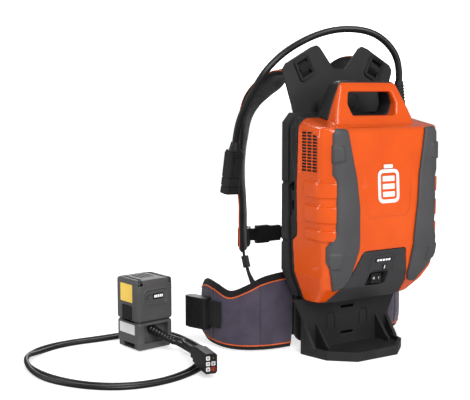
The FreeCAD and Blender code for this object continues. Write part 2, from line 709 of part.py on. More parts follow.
left_pad = [
    ((-86, 78, 492), (0.89, 0, 0.46), 44), ((-93, 97, 485), (0.95, 0.05, 0.12), 48),
    ((-100, 120, 469), (0.93, 0.15, -0.2), 54), ((-105, 148, 452), (0.9, 0.3, -0.24), 58),
    ((-109, 172, 428), (0.82, 0.52, -0.12), 62), ((-111, 186, 402), (0.72, 0.68, 0), 62),
    ((-112, 194, 366), (0.63, 0.77, 0), 62), ((-113, 200, 328), (0.6, 0.8, 0), 62),
    ((-113, 200, 290), (0.6, 0.8, 0), 62), ((-112, 196, 245), (0.6, 0.8, 0), 60),
    ((-110, 198, 200), (0.62, 0.78, 0), 56), ((-108, 198, 160), (0.65, 0.75, 0), 48)]
right_pad = [
    ((86, 78, 496), (0.89, 0, -0.46), 42), ((82, 98, 500), (0.72, 0, -0.69), 42),
    ((79, 122, 501), (0.7, 0.05, -0.71), 46), ((81, 152, 492), (0.84, -0.1, -0.5), 56),
    ((90, 178, 468), (0.9, -0.3, -0.15), 62), ((98, 194, 434), (0.88, -0.4, 0), 62),
    ((104, 202, 396), (0.88, -0.45, 0), 62), ((108, 204, 352), (0.88, -0.45, 0), 62),
    ((110, 202, 306), (0.88, -0.45, 0), 62), ((110, 198, 256), (0.88, -0.45, 0), 60),
    ((110.3, 198, 206), (0.88, -0.4, 0), 56), ((108, 198, 160), (0.88, -0.4, 0), 48)]
band("shoulder_pad_left", left_pad, pad_thick.value)
band("shoulder_pad_right", right_pad, pad_thick.value)

web_thick = 2.5
left_web = [
    ((-108, 198, 160), (0.65, 0.75, 0), 25), ((-107.75, 198, 155), (0.65, 0.75, 0), 25),
    ((-106, 191, 132), (0.67, 0.73, 0), 25), ((-104.5, 184, 116), (0.7, 0.7, 0), 25),
    ((-101, 170, 97), (0.78, 0.6, 0.1), 25), ((-92, 142, 82), (0.9, 0.3, 0.1), 25),
    ((-82, 110, 75), (0.95, 0.2, 0.1), 25), ((-75, 80, 72), (0.95, 0, 0.1), 25)]
for side, stations in (("left", left_web), ("right", other_side(left_web))):
    band("shoulder_webbing_" + side, stations, web_thick)


def set_across(thing, middle, across, along):
    """Sets a piece, drawn with its width on X and its run on Z, on a strap."""
    turned = Placement(Vector(*middle), Rotation(Vector(*across), Vector(), Vector(*along), "ZXY"))
    thing.Placement = turned.multiply(thing.Placement)
    return thing


adjusters = []
for side in (-1, 1):
    outside = box("adjuster_body_%d" % side, (-16, 16), (-4, 4), (-11, 11))
    hole = box("adjuster_slot_%d" % side, (-12.8, 12.8), (-1.6, 1.6), (-12, 12))
    adjuster = cut("adjuster_%d" % side, outside, hole)
    across, along = (-0.65 * side, 0.75, 0), (-2 * side, -8, -28)
    adjusters.append(set_across(adjuster, (106.5 * side, 193, 139), across, along))
adjuster_webs = fused("adjuster_webs", [parts["shoulder_webbing_left"], parts["shoulder_webbing_right"]])
named("strap_adjusters", cut("adjuster_fitted", fused("adjuster_pair", adjusters), adjuster_webs))

# chest strap: a slider on each shoulder pad, webbing to the middle, and a side-release buckle
chest_z, chest_y = 182, 226
chest_wide = 25
left_chest_line = [(-88, 223.5, chest_z + 2), (-76, 226.5, chest_z + 1), (-60, chest_y + 1, chest_z)]
right_chest_line = [
    (-9, chest_y + 1, chest_z), (30, chest_y, chest_z), (62, 221, chest_z + 1), (80, 211.5, chest_z + 2)]
left_chest = [(point, (0, 0, 1), chest_wide) for point in left_chest_line]
right_chest = [(point, (0, 0, 1), chest_wide) for point in right_chest_line]
band("chest_strap_left", left_chest, web_thick)
band("chest_strap_right", right_chest, web_thick)
slider_neighbours = ("shoulder_pad_left", "shoulder_pad_right", "chest_strap_left", "chest_strap_right")
pads_and_straps = fused("pads_and_straps", [parts[name] for name in slider_neighbours])
buckle_front, buckle_back = chest_y - 4, chest_y + 6


def chest_box(name, x, inset, half_high):
    """A box across the chest buckle's depth, drawn in from both faces, about the strap's height."""
    depth = (buckle_front + inset, buckle_back - inset)
    return box(name, x, depth, (chest_z - half_high, chest_z + half_high))


def web_slot(name, x):
    return box(name, x, (chest_y - 0.5, chest_y + 2.6), (chest_z - 12.7, chest_z + 12.7))


socket_shell = chest_box("chest_socket_shell", (-62, -34), 0, 17)
socket_cuts = fused("chest_socket_cuts", [
    chest_box("chest_socket_mouth", (-52, -30), 2, 13), web_slot("chest_socket_slot", (-70, -54)),
    chest_box("chest_socket_windows", (-50, -40), 2.5, 20)])
named("chest_buckle_socket", cut("chest_socket", socket_shell, socket_cuts))
prong_depth = (buckle_front + 2.6, buckle_back - 2.6)
prongs = [box("chest_prong_%d" % i, (-50, -33), prong_depth, (chest_z + low, chest_z + high))
          for i, (low, high) in enumerate(((-12.5, -8), (-2, 2), (8, 12.5)))]
plug_solid = fused("chest_plug_solid", [chest_box("chest_plug_base", (-33.7, -8), 0, 15)] + prongs)
named("chest_buckle_plug", cut("chest_plug", plug_solid, web_slot("chest_plug_slot", (-18, 0))))
sliders = []
for hand, middle, across in (("left", (-100, 209, chest_z + 2), (0.62, 0.78, 0)),
                             ("right", (96, 204, chest_z + 2), (-0.88, 0.4, 0))):
    slider = box("slider_" + hand, (-17, 17), (-10.5, 10.5), (-17, 17))
    sliders.append(set_across(slider, middle, across, (0, 0, 1)))
named("chest_sliders", cut("slider_fitted", fused("slider_pair", sliders), pads_and_straps))

# back pad and lumbar pad
pad_body = new_body("back_pad_body")
back_pad_outline = both_sides([(0, 178), (70, 178), (90, 196), (92, 330), (78, 352), (0, 356)])
slab(pad_body, "back_pad_slab", "XZ", back_pad_outline, back_pad_front, pads_back)
rounded_edges(pad_body, "back_pad_round", 5, lambda edge: lies_behind(edge, pads_back))
named("back_pad", pad_body)
lumbar_body = new_body("lumbar_body")
lumbar_outline = both_sides([(0, 14), (80, 14), (88, 24), (88, 132), (78, 148), (0, 152)])
slab(lumbar_body, "lumbar_slab", "XZ", lumbar_outline, lumbar_pad_front, pads_back)
rounded_edges(lumbar_body, "lumbar_round", 5, lambda edge: lies_behind(edge, pads_back))
named("lumbar_pad", lumbar_body)

# hip belt wings: upright sections along a curve in plan, each with its own low and high edge
left_wing = [((-92, 64), 4, 141), ((-120, 65), 4, 139), ((-150, 71), 4, 133), ((-176, 85), 4, 119),
             ((-196, 109), 4, 108), ((-207, 140), 6, 118), ((-209, 170), 10, 122), ((-204, 198), 20, 112)]


def wing(name, side):
    rings = []
    line = [Vector(x * side * -1, y, 0) for (x, y), low, high in left_wing]
    for i, (place, low, high) in enumerate(left_wing):
        along = line[min(i + 1, len(line) - 1)].sub(line[max(i - 1, 0)]).normalize()
        inward = Vector(along.y, -along.x, 0).multiply(-side)
        near, far = line[i], line[i].add(Vector(inward).multiply(belt_thick.value))
        ring = [Vector(p.x, p.y, z) for p, z in ((near, low), (far, low), (far, high), (near, high))]
        rings.append(Part.makePolygon(ring + [ring[0]]))
    return named(name, feature(name + "_wing", Part.makeLoft(rings, True, True)))


wing("hip_belt_left", -1)
wing("hip_belt_right", 1)
hip_web = [(point, (0, 0, 1), 50) for point in ((-204.4, 121, 64), (-211, 139, 64), (-219, 160, 64))]
for side, stations in (("left", hip_web), ("right", other_side(hip_web))):
    band("hip_webbing_" + side, stations, web_thick)
for side, name, hand in ((-1, "hip_buckle_socket", "left"), (1, "hip_buckle_plug", "right")):
    solid = new_body(name + "_body")
    reach = [(-10, -24), (10, -24), (10, 12), (6, 24), (-6, 24), (-10, 12)]
    slab(solid, name + "_pad", "XY", reach, 36, 92)
    opening(solid, name + "_slot", "XY", [(-1.6, -25), (1.6, -25), (1.6, 10), (-1.6, 10)], 38.6, 89.4)
    for i in range(5):
        x = (8.4, 10.5) if side > 0 else (-10.5, -8.4)
        opening(solid, "%s_rib_%d" % (name, i), "XY", [(x[0], -18 + i * 6), (x[1], -18 + i * 6),
                                                      (x[1], -15 + i * 6), (x[0], -15 + i * 6)], 40, 88)
    solid.Placement = Placement(Vector(224 * side, 168, 0), Rotation(Vector(0, 0, 1), -20 * side))
    belt_and_web = fused(name + "_neighbours", [parts["hip_belt_" + hand], parts["hip_webbing_" + hand]])
    named(name, cut(name + "_fitted", solid, belt_and_web))

# ---------------------------------------------------------------- cords

ARC_SHARE = 0.45


def tube(name, route, radius):
    """A round tube along straight runs joined by tangent arcs, each as large as its runs allow."""
    points = [Vector(*point) for point in route]
    edges, radii = [], []
    start = points[0]
    for before, corner, after in zip(points, points[1:], points[2:]):
        back = before.sub(corner)
        ahead = after.sub(corner)
        setback = ARC_SHARE * min(back.Length, ahead.Length)
        half_turn = (math.pi - back.getAngle(ahead)) / 2
        radii.append(setback / math.tan(half_turn))
        back.normalize()
        ahead.normalize()
        first = corner.add(Vector(back).multiply(setback))
        last = corner.add(Vector(ahead).multiply(setback))
        inward = Vector(back).add(ahead).normalize()
        reach = radii[-1] / math.cos(half_turn)
        middle = corner.add(Vector(inward).multiply(reach - radii[-1]))
        edges.append(Part.LineSegment(start, first).toShape())
        edges.append(Part.Arc(first, middle, last).toShape())
        start = last
    edges.append(Part.LineSegment(start, points[-1]).toShape())
    path = Part.Wire(edges)
    ring = Part.Wire([Part.makeCircle(radius, points[0], points[1].sub(points[0]))])
    solid = path.makePipeShell([ring], True, False)
    expected = math.pi * radius ** 2 * path.Length
    print("%s: length %.0f mm, volume %.4f of section times length, radii %s" % (
        name, path.Length, solid.Volume / expected, " ".join("%.0f" % r for r in radii)))
    return named(name, feature(name + "_tube", solid))


lead_route = [
    (gland_x, gland_y, 472), (gland_x, gland_y, 496), (98, 22, 521), (84, 30, 541), (64, 40, 556),
    (39, 54, 563), (8, 71, 563), (-28, 82, 554), (-67, 87, 537), (-106, 84, 516), (-138, 86, 487),
    (-153, 101, 452), (-163, 116, 419), (-167, 127, 391), (-168, 131, 366)]
tube("power_lead", lead_route, lead_radius.value)

adapter_lead_route = [
    (-276.8, 151.6, 18.5), (-262, 122, 8), (-266, 94, 4.2), (-282, 66, 4.2), (-308, 42, 4.2), (-343, 24, 4.2),
    (-386, 13, 4.2), (-432, 20, 4.2), (-470, 44, 4.2), (-499, 80, 4.2), (-518, 123, 4.2), (-527, 170, 4.2),
    (-526, 214, 4.2), (-514, 251, 4.2), (-488, 282, 4.2), (-450, 300, 4.2), (-404, 305, 4.2), (-354, 302, 4.2),
    (-304, 303, 4.2), (-264, 294, 4.2), (-236, 273, 4.2), (-226, 241, 4.2), (-226, 202, 4.2), (-228, 160, 4.2),
    (-236, 118, 4.2), (-251, 80, 4.2), (-276, 50, 4.2), (-310, 27, 4.2), (-352, 9, 4.2), (-398, 3, 4.2),
    (-442, 11, 4.2), (-479, 35, 4.2), (-509, 72, 4.2), (-530, 116, 4.2), (-538, 158, 8), (-535, 192, 15),
    (-521, 224, 15), (-501, 250, 8.5), (-474, 274, 4.2), (-440, 289, 4.2), (-400, 293, 4.2), (-356, 289, 4.2),
    (-312, 291, 4.2), (-278, 287, 4.2), (-253, 272, 4.2), (-240, 245, 4.2), (-240, 209, 6), (-249, 175, 13),
    (-264, 146, 22), (-279, 124, 26), (-283, 102, 26)]
tube("adapter_lead", adapter_lead_route, cord_radius.value)

# gland on the rear housing and the boot that eases the lead out of it
gland_base = rod("gland_base", (gland_x, gland_y, 411), AXES["XY"], 13, 13)
gland_thread = rod("gland_thread", (gland_x, gland_y, 400), AXES["XY"], gland_radius, 12)
gland_nut = doc.addObject("Part::Prism", "gland_nut")
gland_nut.Polygon = 6
gland_nut.Circumradius = 12.5
gland_nut.Height = 14
gland_nut.Placement = Placement(Vector(gland_x, gland_y, 424), Rotation())
gland_bore = rod("gland_bore", (gland_x, gland_y, 380), AXES["XY"], 5, 80)
gland_solid = cut("gland_bored", fused("gland_solid", [gland_base, gland_thread, gland_nut]), gland_bore)
gland_seat_rod = rod("gland_seat_rod", (gland_x, gland_y, 395), AXES["XY"], 13.5, 30)
gland_seat = shared("gland_seat", [gland_seat_rod, cut("seat_ring", outer, gland_hole)])
named("cable_gland", cut("gland_fitted", gland_solid, gland_seat))
boot_cone = cone("boot_cone", (gland_x, gland_y, 438), AXES["XY"], 10.5, 7.4, 34)
boot_rings = feature("boot_rings", Part.makeCompound([
    Part.makeTorus(9.9 - i * 0.42, 1.3, Vector(gland_x, gland_y, 443 + i * 5.2), AXES["XY"])
    for i in range(5)]))
named("power_lead_boot", fused("boot_ribbed", [boot_cone, boot_rings]))

# ---------------------------------------------------------------- connector on the end of the power lead

connector_top = Vector(*lead_route[-1])
connector_way = connector_top.sub(Vector(*lead_route[-2])).normalize()
connector_place = Placement(connector_top, Rotation(Vector(0, 0, -1), connector_way))


def octagon(half_x, half_y, bevel):
    return [
        (half_x, -half_y + bevel), (half_x, half_y - bevel), (half_x - bevel, half_y),
        (-half_x + bevel, half_y), (-half_x, half_y - bevel), (-half_x, -half_y + bevel),
        (-half_x + bevel, -half_y), (half_x - bevel, -half_y)]


def pin_cells(columns, rows, pitch_x, pitch_y):
    """The middles of a grid of contacts."""
    return [((i - (columns - 1) / 2) * pitch_x, (j - (rows - 1) / 2) * pitch_y)
            for i in range(columns) for j in range(rows)]


connector_long = 92
connector = new_body("connector_body")
slab(connector, "connector_core", "XY", octagon(14, 10, 4), -connector_long, -14)
for i, (low, high) in enumerate(((-92, -80), (-78, -64), (-62, -18))):
    slab(connector, "connector_collar_%d" % i, "XY", octagon(15, 11.5, 4), low, high)
opening(connector, "latch_seat", "XZ", [(-5.4, -58), (5.4, -58), (5.4, -26), (-5.4, -26)], -12, -7.8)
contact_places = pin_cells(3, 2, 8, 8)
for i, (x, y) in enumerate(contact_places):
    opening(connector, "connector_cell_%d" % i, "XY", rectangle(x, y, 6, 6), -connector_long - 1,
            -connector_long + 2)
connector_cone = cone("connector_boot", (0, 0, -16), (0, 0, 1), 10.5, 7.6, 16)
connector_whole = fused("connector_whole", [connector, connector_cone])
connector_whole.Placement = connector_place
named("lead_connector", connector_whole)
latch = new_body("latch_body")
slab(latch, "latch_pad", "XZ", [(-5, -57.6), (5, -57.6), (5, -26.4), (-5, -26.4)], -12.9, -9.4)
for i in range(4):
    z = -54 + i * 4
    opening(latch, "latch_groove_%d" % i, "XZ", [(-6, z), (6, z), (6, z + 1.6), (-6, z + 1.6)], -14, -12.2)
slab(latch, "latch_rib", "XZ", [(-5, -43), (5, -43), (5, -41), (-5, -41)], -9.5, -7.9)
latch.Placement = connector_place
named("connector_latch", latch)
pins = [Part.makeBox(4.6, 4.6, 1.7, Vector(x - 2.3, y - 2.3, -connector_long + 0.3)) for x, y in contact_places]
named("connector_contacts", feature("connector_pins", Part.makeCompound(pins), connector_place))

# ---------------------------------------------------------------- tool adapter

adapter_turn = 8
adapter_place = Placement(Vector(-301.9, 223.5, 0), Rotation(Vector(0, 0, 1), adapter_turn))
half_wide, half_deep = adapter_wide / 2, adapter_deep / 2


def bevelled(half_x, half_y, bevel):
    """A rectangle with cut corners whose sides stay bound to the sheet."""
    return [(half_x * -1 + bevel, half_y * -1), (half_x - bevel, half_y * -1), (half_x, half_y * -1 + bevel),
            (half_x, half_y - bevel), (half_x - bevel, half_y), (half_x * -1 + bevel, half_y),
            (half_x * -1, half_y - bevel), (half_x * -1, half_y * -1 + bevel)]


lower = new_body("adapter_lower_body")
slab(lower, "lower_block", "XY", bevelled(half_wide, half_deep, 4), 0, adapter_split)
opening(lower, "lower_hollow", "XY", bevelled(half_wide - 3, half_deep - 18, 3), 4, adapter_split + 1)
cord_recess_outline = [(-20, 16), (25, 16), (25, 44), (20, 48), (-16, 48), (-20, 44)]
opening(lower, "cord_recess", "XZ", cord_recess_outline, -40, -21.5)
for side in (-1, 1):
    x = (half_wide - 3, 45) if side > 0 else (-45, half_wide * -1 + 3)
    opening(lower, "foot_groove_%d" % (side + 2), "YZ", [(-24, 8), (24, 8), (24, 14), (-24, 14)], *x)
screw_corners = [(x, y) for x in (-31, 31) for y in (-29, 29)]
screw_shafts = feature("adapter_screw_shafts", Part.makeCompound([
    Part.makeCylinder(1.6, 100, Vector(x, y, 24)) for x, y in screw_corners]))
screw_wells = feature("adapter_screw_wells", Part.makeCompound([
    Part.makeCylinder(3.6, 20, Vector(x, y, 118)) for x, y in screw_corners]))
screw_pillars = feature("adapter_screw_pillars", Part.makeCompound([
    Part.makeCylinder(5, 71, Vector(x, y, adapter_split.value)) for x, y in screw_corners]))
relief_way = Vector(*adapter_lead_route[1]).sub(Vector(*adapter_lead_route[0])).normalize()
relief_long = 58
relief_start = Vector(*adapter_lead_route[0]).sub(Vector(relief_way).multiply(relief_long))
relief_root_long = 10
relief = cone("relief_cone", relief_start, relief_way, 8.4, 5.6, relief_long)
relief_root_start = relief_start.sub(Vector(relief_way).multiply(relief_root_long))
relief_root = rod("relief_root", relief_root_start, relief_way, 6.9, relief_root_long + 1)
relief_solid = named("adapter_strain_relief", fused("relief_solid", [relief, relief_root]))
lower_drilled = cut("lower_drilled", lower, screw_shafts)
lower_drilled.Placement = adapter_place
named("adapter_lower_shell", cut("lower_fitted", lower_drilled, relief_solid))

upper = new_body("adapter_upper_body")
slab(upper, "upper_block", "XY", bevelled(half_wide, half_deep, 4), adapter_split, adapter_high - 3)
upper_top_outline = bevelled(half_wide - 2.5, half_deep - 2.5, 4)
slab(upper, "upper_top", "XY", upper_top_outline, adapter_high - 4, adapter_high)
upper_hollow_outline = bevelled(half_wide - 3, half_deep - 3, 3)
opening(upper, "upper_hollow", "XY", upper_hollow_outline, adapter_split - 1, adapter_high - 6)
opening(upper, "latch_ways", "YZ", upright(-15, 15, 55, 79), -50, 50)
display_outline = [(-20, 84), (20, 84), (24, 88), (24, 104), (20, 108), (-20, 108), (-24, 104), (-24, 88)]
opening(upper, "display_recess", "XZ", display_outline, -40, half_deep * -1 + 1.2)
opening(upper, "window_way", "XZ", upright(-5, 17, 91, 101), -40, -30)
above_top = adapter_high + 1
for x in (-26, 26):
    opening(upper, "top_rail_%d" % (x + 30), "XY", rectangle(x, 0, 5, 52), adapter_high - 3, above_top)
for i in range(4):
    slot_outline = rectangle(-12 + i * 8, 6, 3, 34)
    opening(upper, "terminal_slot_%d" % i, "XY", slot_outline, adapter_high - 8, above_top)
button_way = rod("adapter_button_way", (-13, -40, 96), (0, 1, 0), 4.9, 20)
upper_cut = cut("upper_cut", fused("upper_filled", [upper, screw_pillars]),
                fused("upper_cuts", [screw_shafts, screw_wells, button_way]))
upper_cut.Placement = adapter_place
named("adapter_upper_shell", upper_cut)


def on_adapter(name, thing):
    thing.Placement = adapter_place.multiply(thing.Placement)
    return named(name, thing)


for side, name in ((-1, "adapter_latch_left"), (1, "adapter_latch_right")):
    grip = new_body(name + "_body")
    reach = [(31, -14.6), (37.5, -14.6), (41.5, -10), (41.5, 10), (37.5, 14.6), (31, 14.6)]
    slab(grip, name + "_pad", "XY", [(x * side, y) for x, y in reach], 55.4, 78.6)
    for i in range(3):
        x = (40.5, 43) if side > 0 else (-43, -40.5)
        opening(grip, "%s_groove_%d" % (name, i), "XY", [(x[0], -7.5 + i * 6), (x[1], -7.5 + i * 6),
                                                        (x[1], -4.5 + i * 6), (x[0], -4.5 + i * 6)], 50, 85)
    on_adapter(name, grip)
on_adapter("adapter_window", box("adapter_lens", (-5, 17), (-34.2, -32), (91, 101)))
cap_face = rod("adapter_cap_face", (-13, -35.4, 96), AXES["XZ"], 4.5, 5)
cap_flange = rod("adapter_cap_flange", (-13, -32, 96), AXES["XZ"], 6, 1.4)
on_adapter("adapter_button", fused("adapter_cap", [cap_face, cap_flange]))
on_adapter("adapter_terminals", fused("terminal_strips", [
    box("terminal_%d" % i, (-12.6 + i * 8, -11.4 + i * 8), (-8, 20), (108, 125)) for i in range(4)]))
adapter_screw_shapes = Part.makeCompound([
    screw((x, y, 122), (0, 0, -1), 3, 3, 1.5, 88) for x, y in screw_corners])
named("adapter_screws", feature("adapter_screw_shapes", adapter_screw_shapes, adapter_place))

# ---------------------------------------------------------------- plug on the end of the adapter's lead

plug_end = Vector(*adapter_lead_route[-1])
plug_way = plug_end.sub(Vector(*adapter_lead_route[-2])).normalize()
plug_long, plug_boot_long = 72, 44
plug_place = Placement(plug_end, Rotation(Vector(0, -1, 0), Vector(plug_way.x, plug_way.y, 0).normalize()))
plug_front = -(plug_long + plug_boot_long)
plug = new_body("plug_body")
half_plug, half_plug_high = plug_wide / 2, plug_high / 2
plug_steps = [
    ("plug_block", half_plug, half_plug_high, plug_front, plug_front + 46),
    ("plug_shoulder", half_plug - 1.5, half_plug_high - 2, plug_front + 46, plug_front + 60),
    ("plug_neck", half_plug - 2.6, half_plug_high - 6, plug_front + 60, -plug_boot_long + 2)]
for name, half_x, half_z, low, high in plug_steps:
    slab(plug, name, "XZ", bevelled(half_x, half_z, 3), low, high)
plug_places = pin_cells(2, 3, 9, 9)
for i, (x, z) in enumerate(plug_places):
    opening(plug, "plug_cell_%d" % i, "XZ", rectangle(x, z, 7, 7), plug_front - 1, plug_front + 3)
plug_boot = cone("plug_boot", (0, -plug_boot_long, 0), (0, 1, 0), 8, 5.4, plug_boot_long)
plug_whole = fused("plug_whole", [plug, plug_boot])
plug_whole.Placement = plug_place
named("adapter_plug", plug_whole)
plug_pins = [Part.makeBox(5, 3.2, 5, Vector(x - 2.5, plug_front - 0.2, z - 2.5)) for x, z in plug_places]
named("plug_contacts", feature("plug_pins", Part.makeCompound(plug_pins), plug_place))

# ---------------------------------------------------------------- checks and files

doc.recompute()
failed = [thing.Name for thing in doc.Objects if "Invalid" in thing.State or "Error" in thing.State]
for name, thing in parts.items():
    if thing.Shape.isNull() or not thing.Shape.isValid() or not thing.Shape.Solids:
        failed.append(name)
if failed:
    raise RuntimeError("these did not build: " + ", ".join(failed))
os.makedirs("parts", exist_ok=True)
for name, thing in parts.items():
    thing.Shape.exportStep("parts/%s.step" % name)
print("%d nodes" % len(parts))
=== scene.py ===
import json
import math

import bpy
import numpy as np
import openvdb
from mathutils import Matrix, Vector, noise


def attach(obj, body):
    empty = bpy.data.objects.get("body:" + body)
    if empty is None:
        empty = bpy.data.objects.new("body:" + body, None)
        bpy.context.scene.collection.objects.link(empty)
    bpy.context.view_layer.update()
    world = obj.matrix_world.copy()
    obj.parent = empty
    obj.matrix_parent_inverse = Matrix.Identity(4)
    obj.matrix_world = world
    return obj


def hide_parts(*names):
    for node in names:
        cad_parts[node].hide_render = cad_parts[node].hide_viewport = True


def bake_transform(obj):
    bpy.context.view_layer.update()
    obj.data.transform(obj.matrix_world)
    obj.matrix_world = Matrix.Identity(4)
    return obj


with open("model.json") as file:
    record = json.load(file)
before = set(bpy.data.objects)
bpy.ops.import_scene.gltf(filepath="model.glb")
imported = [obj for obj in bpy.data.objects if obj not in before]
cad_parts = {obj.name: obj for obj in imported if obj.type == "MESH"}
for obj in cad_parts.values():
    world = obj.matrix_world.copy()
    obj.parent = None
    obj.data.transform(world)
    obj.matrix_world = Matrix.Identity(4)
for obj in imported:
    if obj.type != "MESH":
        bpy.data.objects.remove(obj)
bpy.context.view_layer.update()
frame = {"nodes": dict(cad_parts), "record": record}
nodes = frame["nodes"]
MM = 0.001
SIDES = (("left", -1), ("right", 1))
WHITE = (1, 1, 1, 1)
scene = bpy.context.scene
scene.view_settings.view_transform = "Standard"


def linked(name, data):
    """A new object in the scene."""
    made = bpy.data.objects.new(name, data)
    scene.collection.objects.link(made)
    return made



# ---- camera

camera_data = bpy.data.cameras.new("camera")
camera_data.lens = 72.0
camera_data.sensor_width = 36.0
camera = linked("camera", camera_data)
camera.location = (-1.0378, -1.2593, 0.456)
camera.rotation_euler = (math.radians(83.33), 0, math.radians(-32))
scene.camera = camera

# ---- materials


def shader_of(made):
    return made.node_tree.nodes["Principled BSDF"]


def material(name, rough=0.5, specular=0.5, **sockets):
    """A Principled material whose even values sit on the shader's own sockets."""
    made = bpy.data.materials.new(name)
    made.use_nodes = True
    shader = shader_of(made)
    shader.inputs["Roughness"].default_value = rough
    shader.inputs["Specular IOR Level"].default_value = specular
    for key, value in sockets.items():
        shader.inputs[key.replace("_", " ")].default_value = value
    return made


def add(made, kind, **values):
    node = made.node_tree.nodes.new("ShaderNode" + kind)
    for key, value in values.items():
        if hasattr(node, key):
            setattr(node, key, value)
        else:
            node.inputs[key.replace("_", " ")].default_value = value
    return node


def wire(made, source, target):
    made.node_tree.links.new(source, target)


def noisy(made, scale, detail):
    """A noise value over the piece's own space in metres."""
    node = add(made, "TexNoise", Scale=scale, Detail=detail, Roughness=0.5)
    wire(made, add(made, "TexCoord").outputs["Object"], node.inputs["Vector"])
    return node.outputs["Fac"]


def coloured(made, value, low, high, start=0.35, end=0.65):
    """The base colour runs from one tone to another with a value."""
    ramp = add(made, "ValToRGB")
    ramp.color_ramp.elements[0].position = start
    ramp.color_ramp.elements[1].position = end
    ramp.color_ramp.elements[0].color = (*low, 1)
    ramp.color_ramp.elements[1].color = (*high, 1)
    wire(made, value, ramp.inputs["Fac"])
    wire(made, ramp.outputs["Color"], shader_of(made).inputs["Base Color"])


def roughened(made, value, low, high):
    spread = add(made, "MapRange")
    spread.inputs["To Min"].default_value = low
    spread.inputs["To Max"].default_value = high
    wire(made, value, spread.inputs["Value"])
    wire(made, spread.outputs["Result"], shader_of(made).inputs["Roughness"])


def bumped(made, layers, bevel=0.0):
    """Bump layers, each a value and its depth in metres, over edges eased by a radius."""
    normal = add(made, "Bevel", samples=4, Radius=bevel).outputs["Normal"] if bevel else None
    for value, depth in layers:
        bump = add(made, "Bump", Strength=1.0, Distance=depth)
        wire(made, value, bump.inputs["Height"])
        if normal:
            wire(made, normal, bump.inputs["Normal"])
        normal = bump.outputs["Normal"]
    wire(made, normal, shader_of(made).inputs["Normal"])


def plastic(name, low, high, rough, grain=0.00006, bevel=0.0015, scale=1400, **sockets):
    """Moulded plastic: a fine spark-eroded grain, slow tone changes and eased edges."""
    made = material(name, rough, **sockets)
    coloured(made, noisy(made, 14, 4), low, high)
    roughened(made, noisy(made, 60, 4), rough - 0.06, rough + 0.06)
    bumped(made, [(noisy(made, scale, 2), grain), (noisy(made, 9, 2), 0.0006)], bevel)
    return made


def waves(made, direction, period, where):
    """Even ribs with a period in metres: the texture's bands are pi / 10 apart at scale 1."""
    node = add(made, "TexWave", wave_type="BANDS", bands_direction=direction, wave_profile="SIN",
               Scale=0.31416 / period, Distortion=0.0, Detail=0.0)
    wire(made, where, node.inputs["Vector"])
    return node.outputs["Fac"]


def mixed(made, first, second, operation):
    node = add(made, "Math", operation=operation)
    wire(made, first, node.inputs[0])
    wire(made, second, node.inputs[1])
    return node.outputs["Value"]


def cloth(name, low, high, warp, weft, depth, rough=0.85, sheen=0.25, slow=35):
    """Woven cloth: two thread directions in the piece's own width and length, with uneven dye, and painted shade
    darkening the gaps between the threads.
    """
    made = material(name, rough, 0.25, Sheen_Weight=sheen, Sheen_Roughness=0.4)
    flat = add(made, "TexCoord").outputs["UV"]
    weave_and_gap_shade = mixed(made, waves(made, "X", warp, flat), waves(made, "Y", weft, flat), "MAXIMUM")
    # the base colour is uneven dye times the weave, so the gaps between threads get painted shade
    coloured(made, mixed(made, noisy(made, slow, 5), weave_and_gap_shade, "MULTIPLY"), low, high, 0.1, 0.7)
    roughened(made, noisy(made, 300, 2), rough - 0.08, min(rough + 0.08, 1))
    bumped(made, [(weave_and_gap_shade, depth), (noisy(made, 420, 3), depth * 0.7), (noisy(made, 28, 3), 0.0012)])
    return made


orange = plastic("orange_shell", (0.68, 0.076, 0.003), (0.74, 0.090, 0.004), 0.24, 0.000008, 0.0012,
                 specular=0.3, Coat_Weight=0.8, Coat_Roughness=0.04)
grey = plastic("grey_shell", (0.058, 0.058, 0.061), (0.070, 0.070, 0.074), 0.50, specular=0.4)
housing_grey = plastic("housing_grey", (0.018, 0.018, 0.019), (0.026, 0.026, 0.028), 0.50, specular=0.3)
panel_grey = plastic("panel_grey", (0.034, 0.034, 0.036), (0.044, 0.044, 0.047), 0.42, specular=0.4)
foot_grey = plastic("foot_plastic", (0.018, 0.018, 0.019), (0.026, 0.026, 0.028), 0.48, bevel=0.002, specular=0.35)
yoke_grey = plastic("yoke_plastic", (0.022, 0.022, 0.023), (0.031, 0.031, 0.033), 0.62, 0.0001, 0.0015, specular=0.35)
adapter_grey = plastic("adapter_shell", (0.062, 0.062, 0.064), (0.084, 0.084, 0.088), 0.46, bevel=0.0)
black = plastic("black_plastic", (0.008, 0.008, 0.009), (0.016, 0.016, 0.017), 0.42, bevel=0.001)
rubber = plastic("seal_rubber", (0.008, 0.008, 0.008), (0.014, 0.014, 0.014), 0.7, 0.00008, 0.0008)
cord_skin = plastic("cord_rubber", (0.005, 0.005, 0.006), (0.010, 0.010, 0.011), 0.36, 0.00003, 0.0)
window = plastic("clear_window", (0.012, 0.013, 0.015), (0.020, 0.021, 0.024), 0.12, 0.00001, 0.0005,
                 Coat_Weight=0.6, Coat_Roughness=0.05)
sleeve = plastic("cell_sleeve", (0.10, 0.24, 0.42), (0.14, 0.30, 0.50), 0.35, 0.00001, 0.0004)
circuit = plastic("circuit", (0.01, 0.09, 0.03), (0.015, 0.12, 0.045), 0.4, 0.00002, 0.0004)
white_print = plastic("white_print", (0.74, 0.74, 0.74), (0.84, 0.84, 0.84), 0.4, 0.00001, 0.0003)
red_plastic = plastic("red_plastic", (0.50, 0.012, 0.010), (0.62, 0.020, 0.016), 0.4, 0.00002, 0.0005)
yellow_plate = plastic("yellow_label", (0.78, 0.50, 0.06), (0.86, 0.58, 0.09), 0.45, 0.00001, 0.0003)
pale_plate = plastic("pale_label", (0.52, 0.52, 0.53), (0.66, 0.66, 0.67), 0.42, 0.00001, 0.0003)
lamp_white = plastic("lamp_lens", (0.80, 0.80, 0.80), (0.92, 0.92, 0.92), 0.3, 0.00001, 0.0003,
                     Emission_Color=WHITE, Emission_Strength=0.35)
steel = plastic("screw_steel", (0.28, 0.28, 0.29), (0.42, 0.42, 0.43), 0.32, 0.00002, 0.0004, Metallic=1.0)
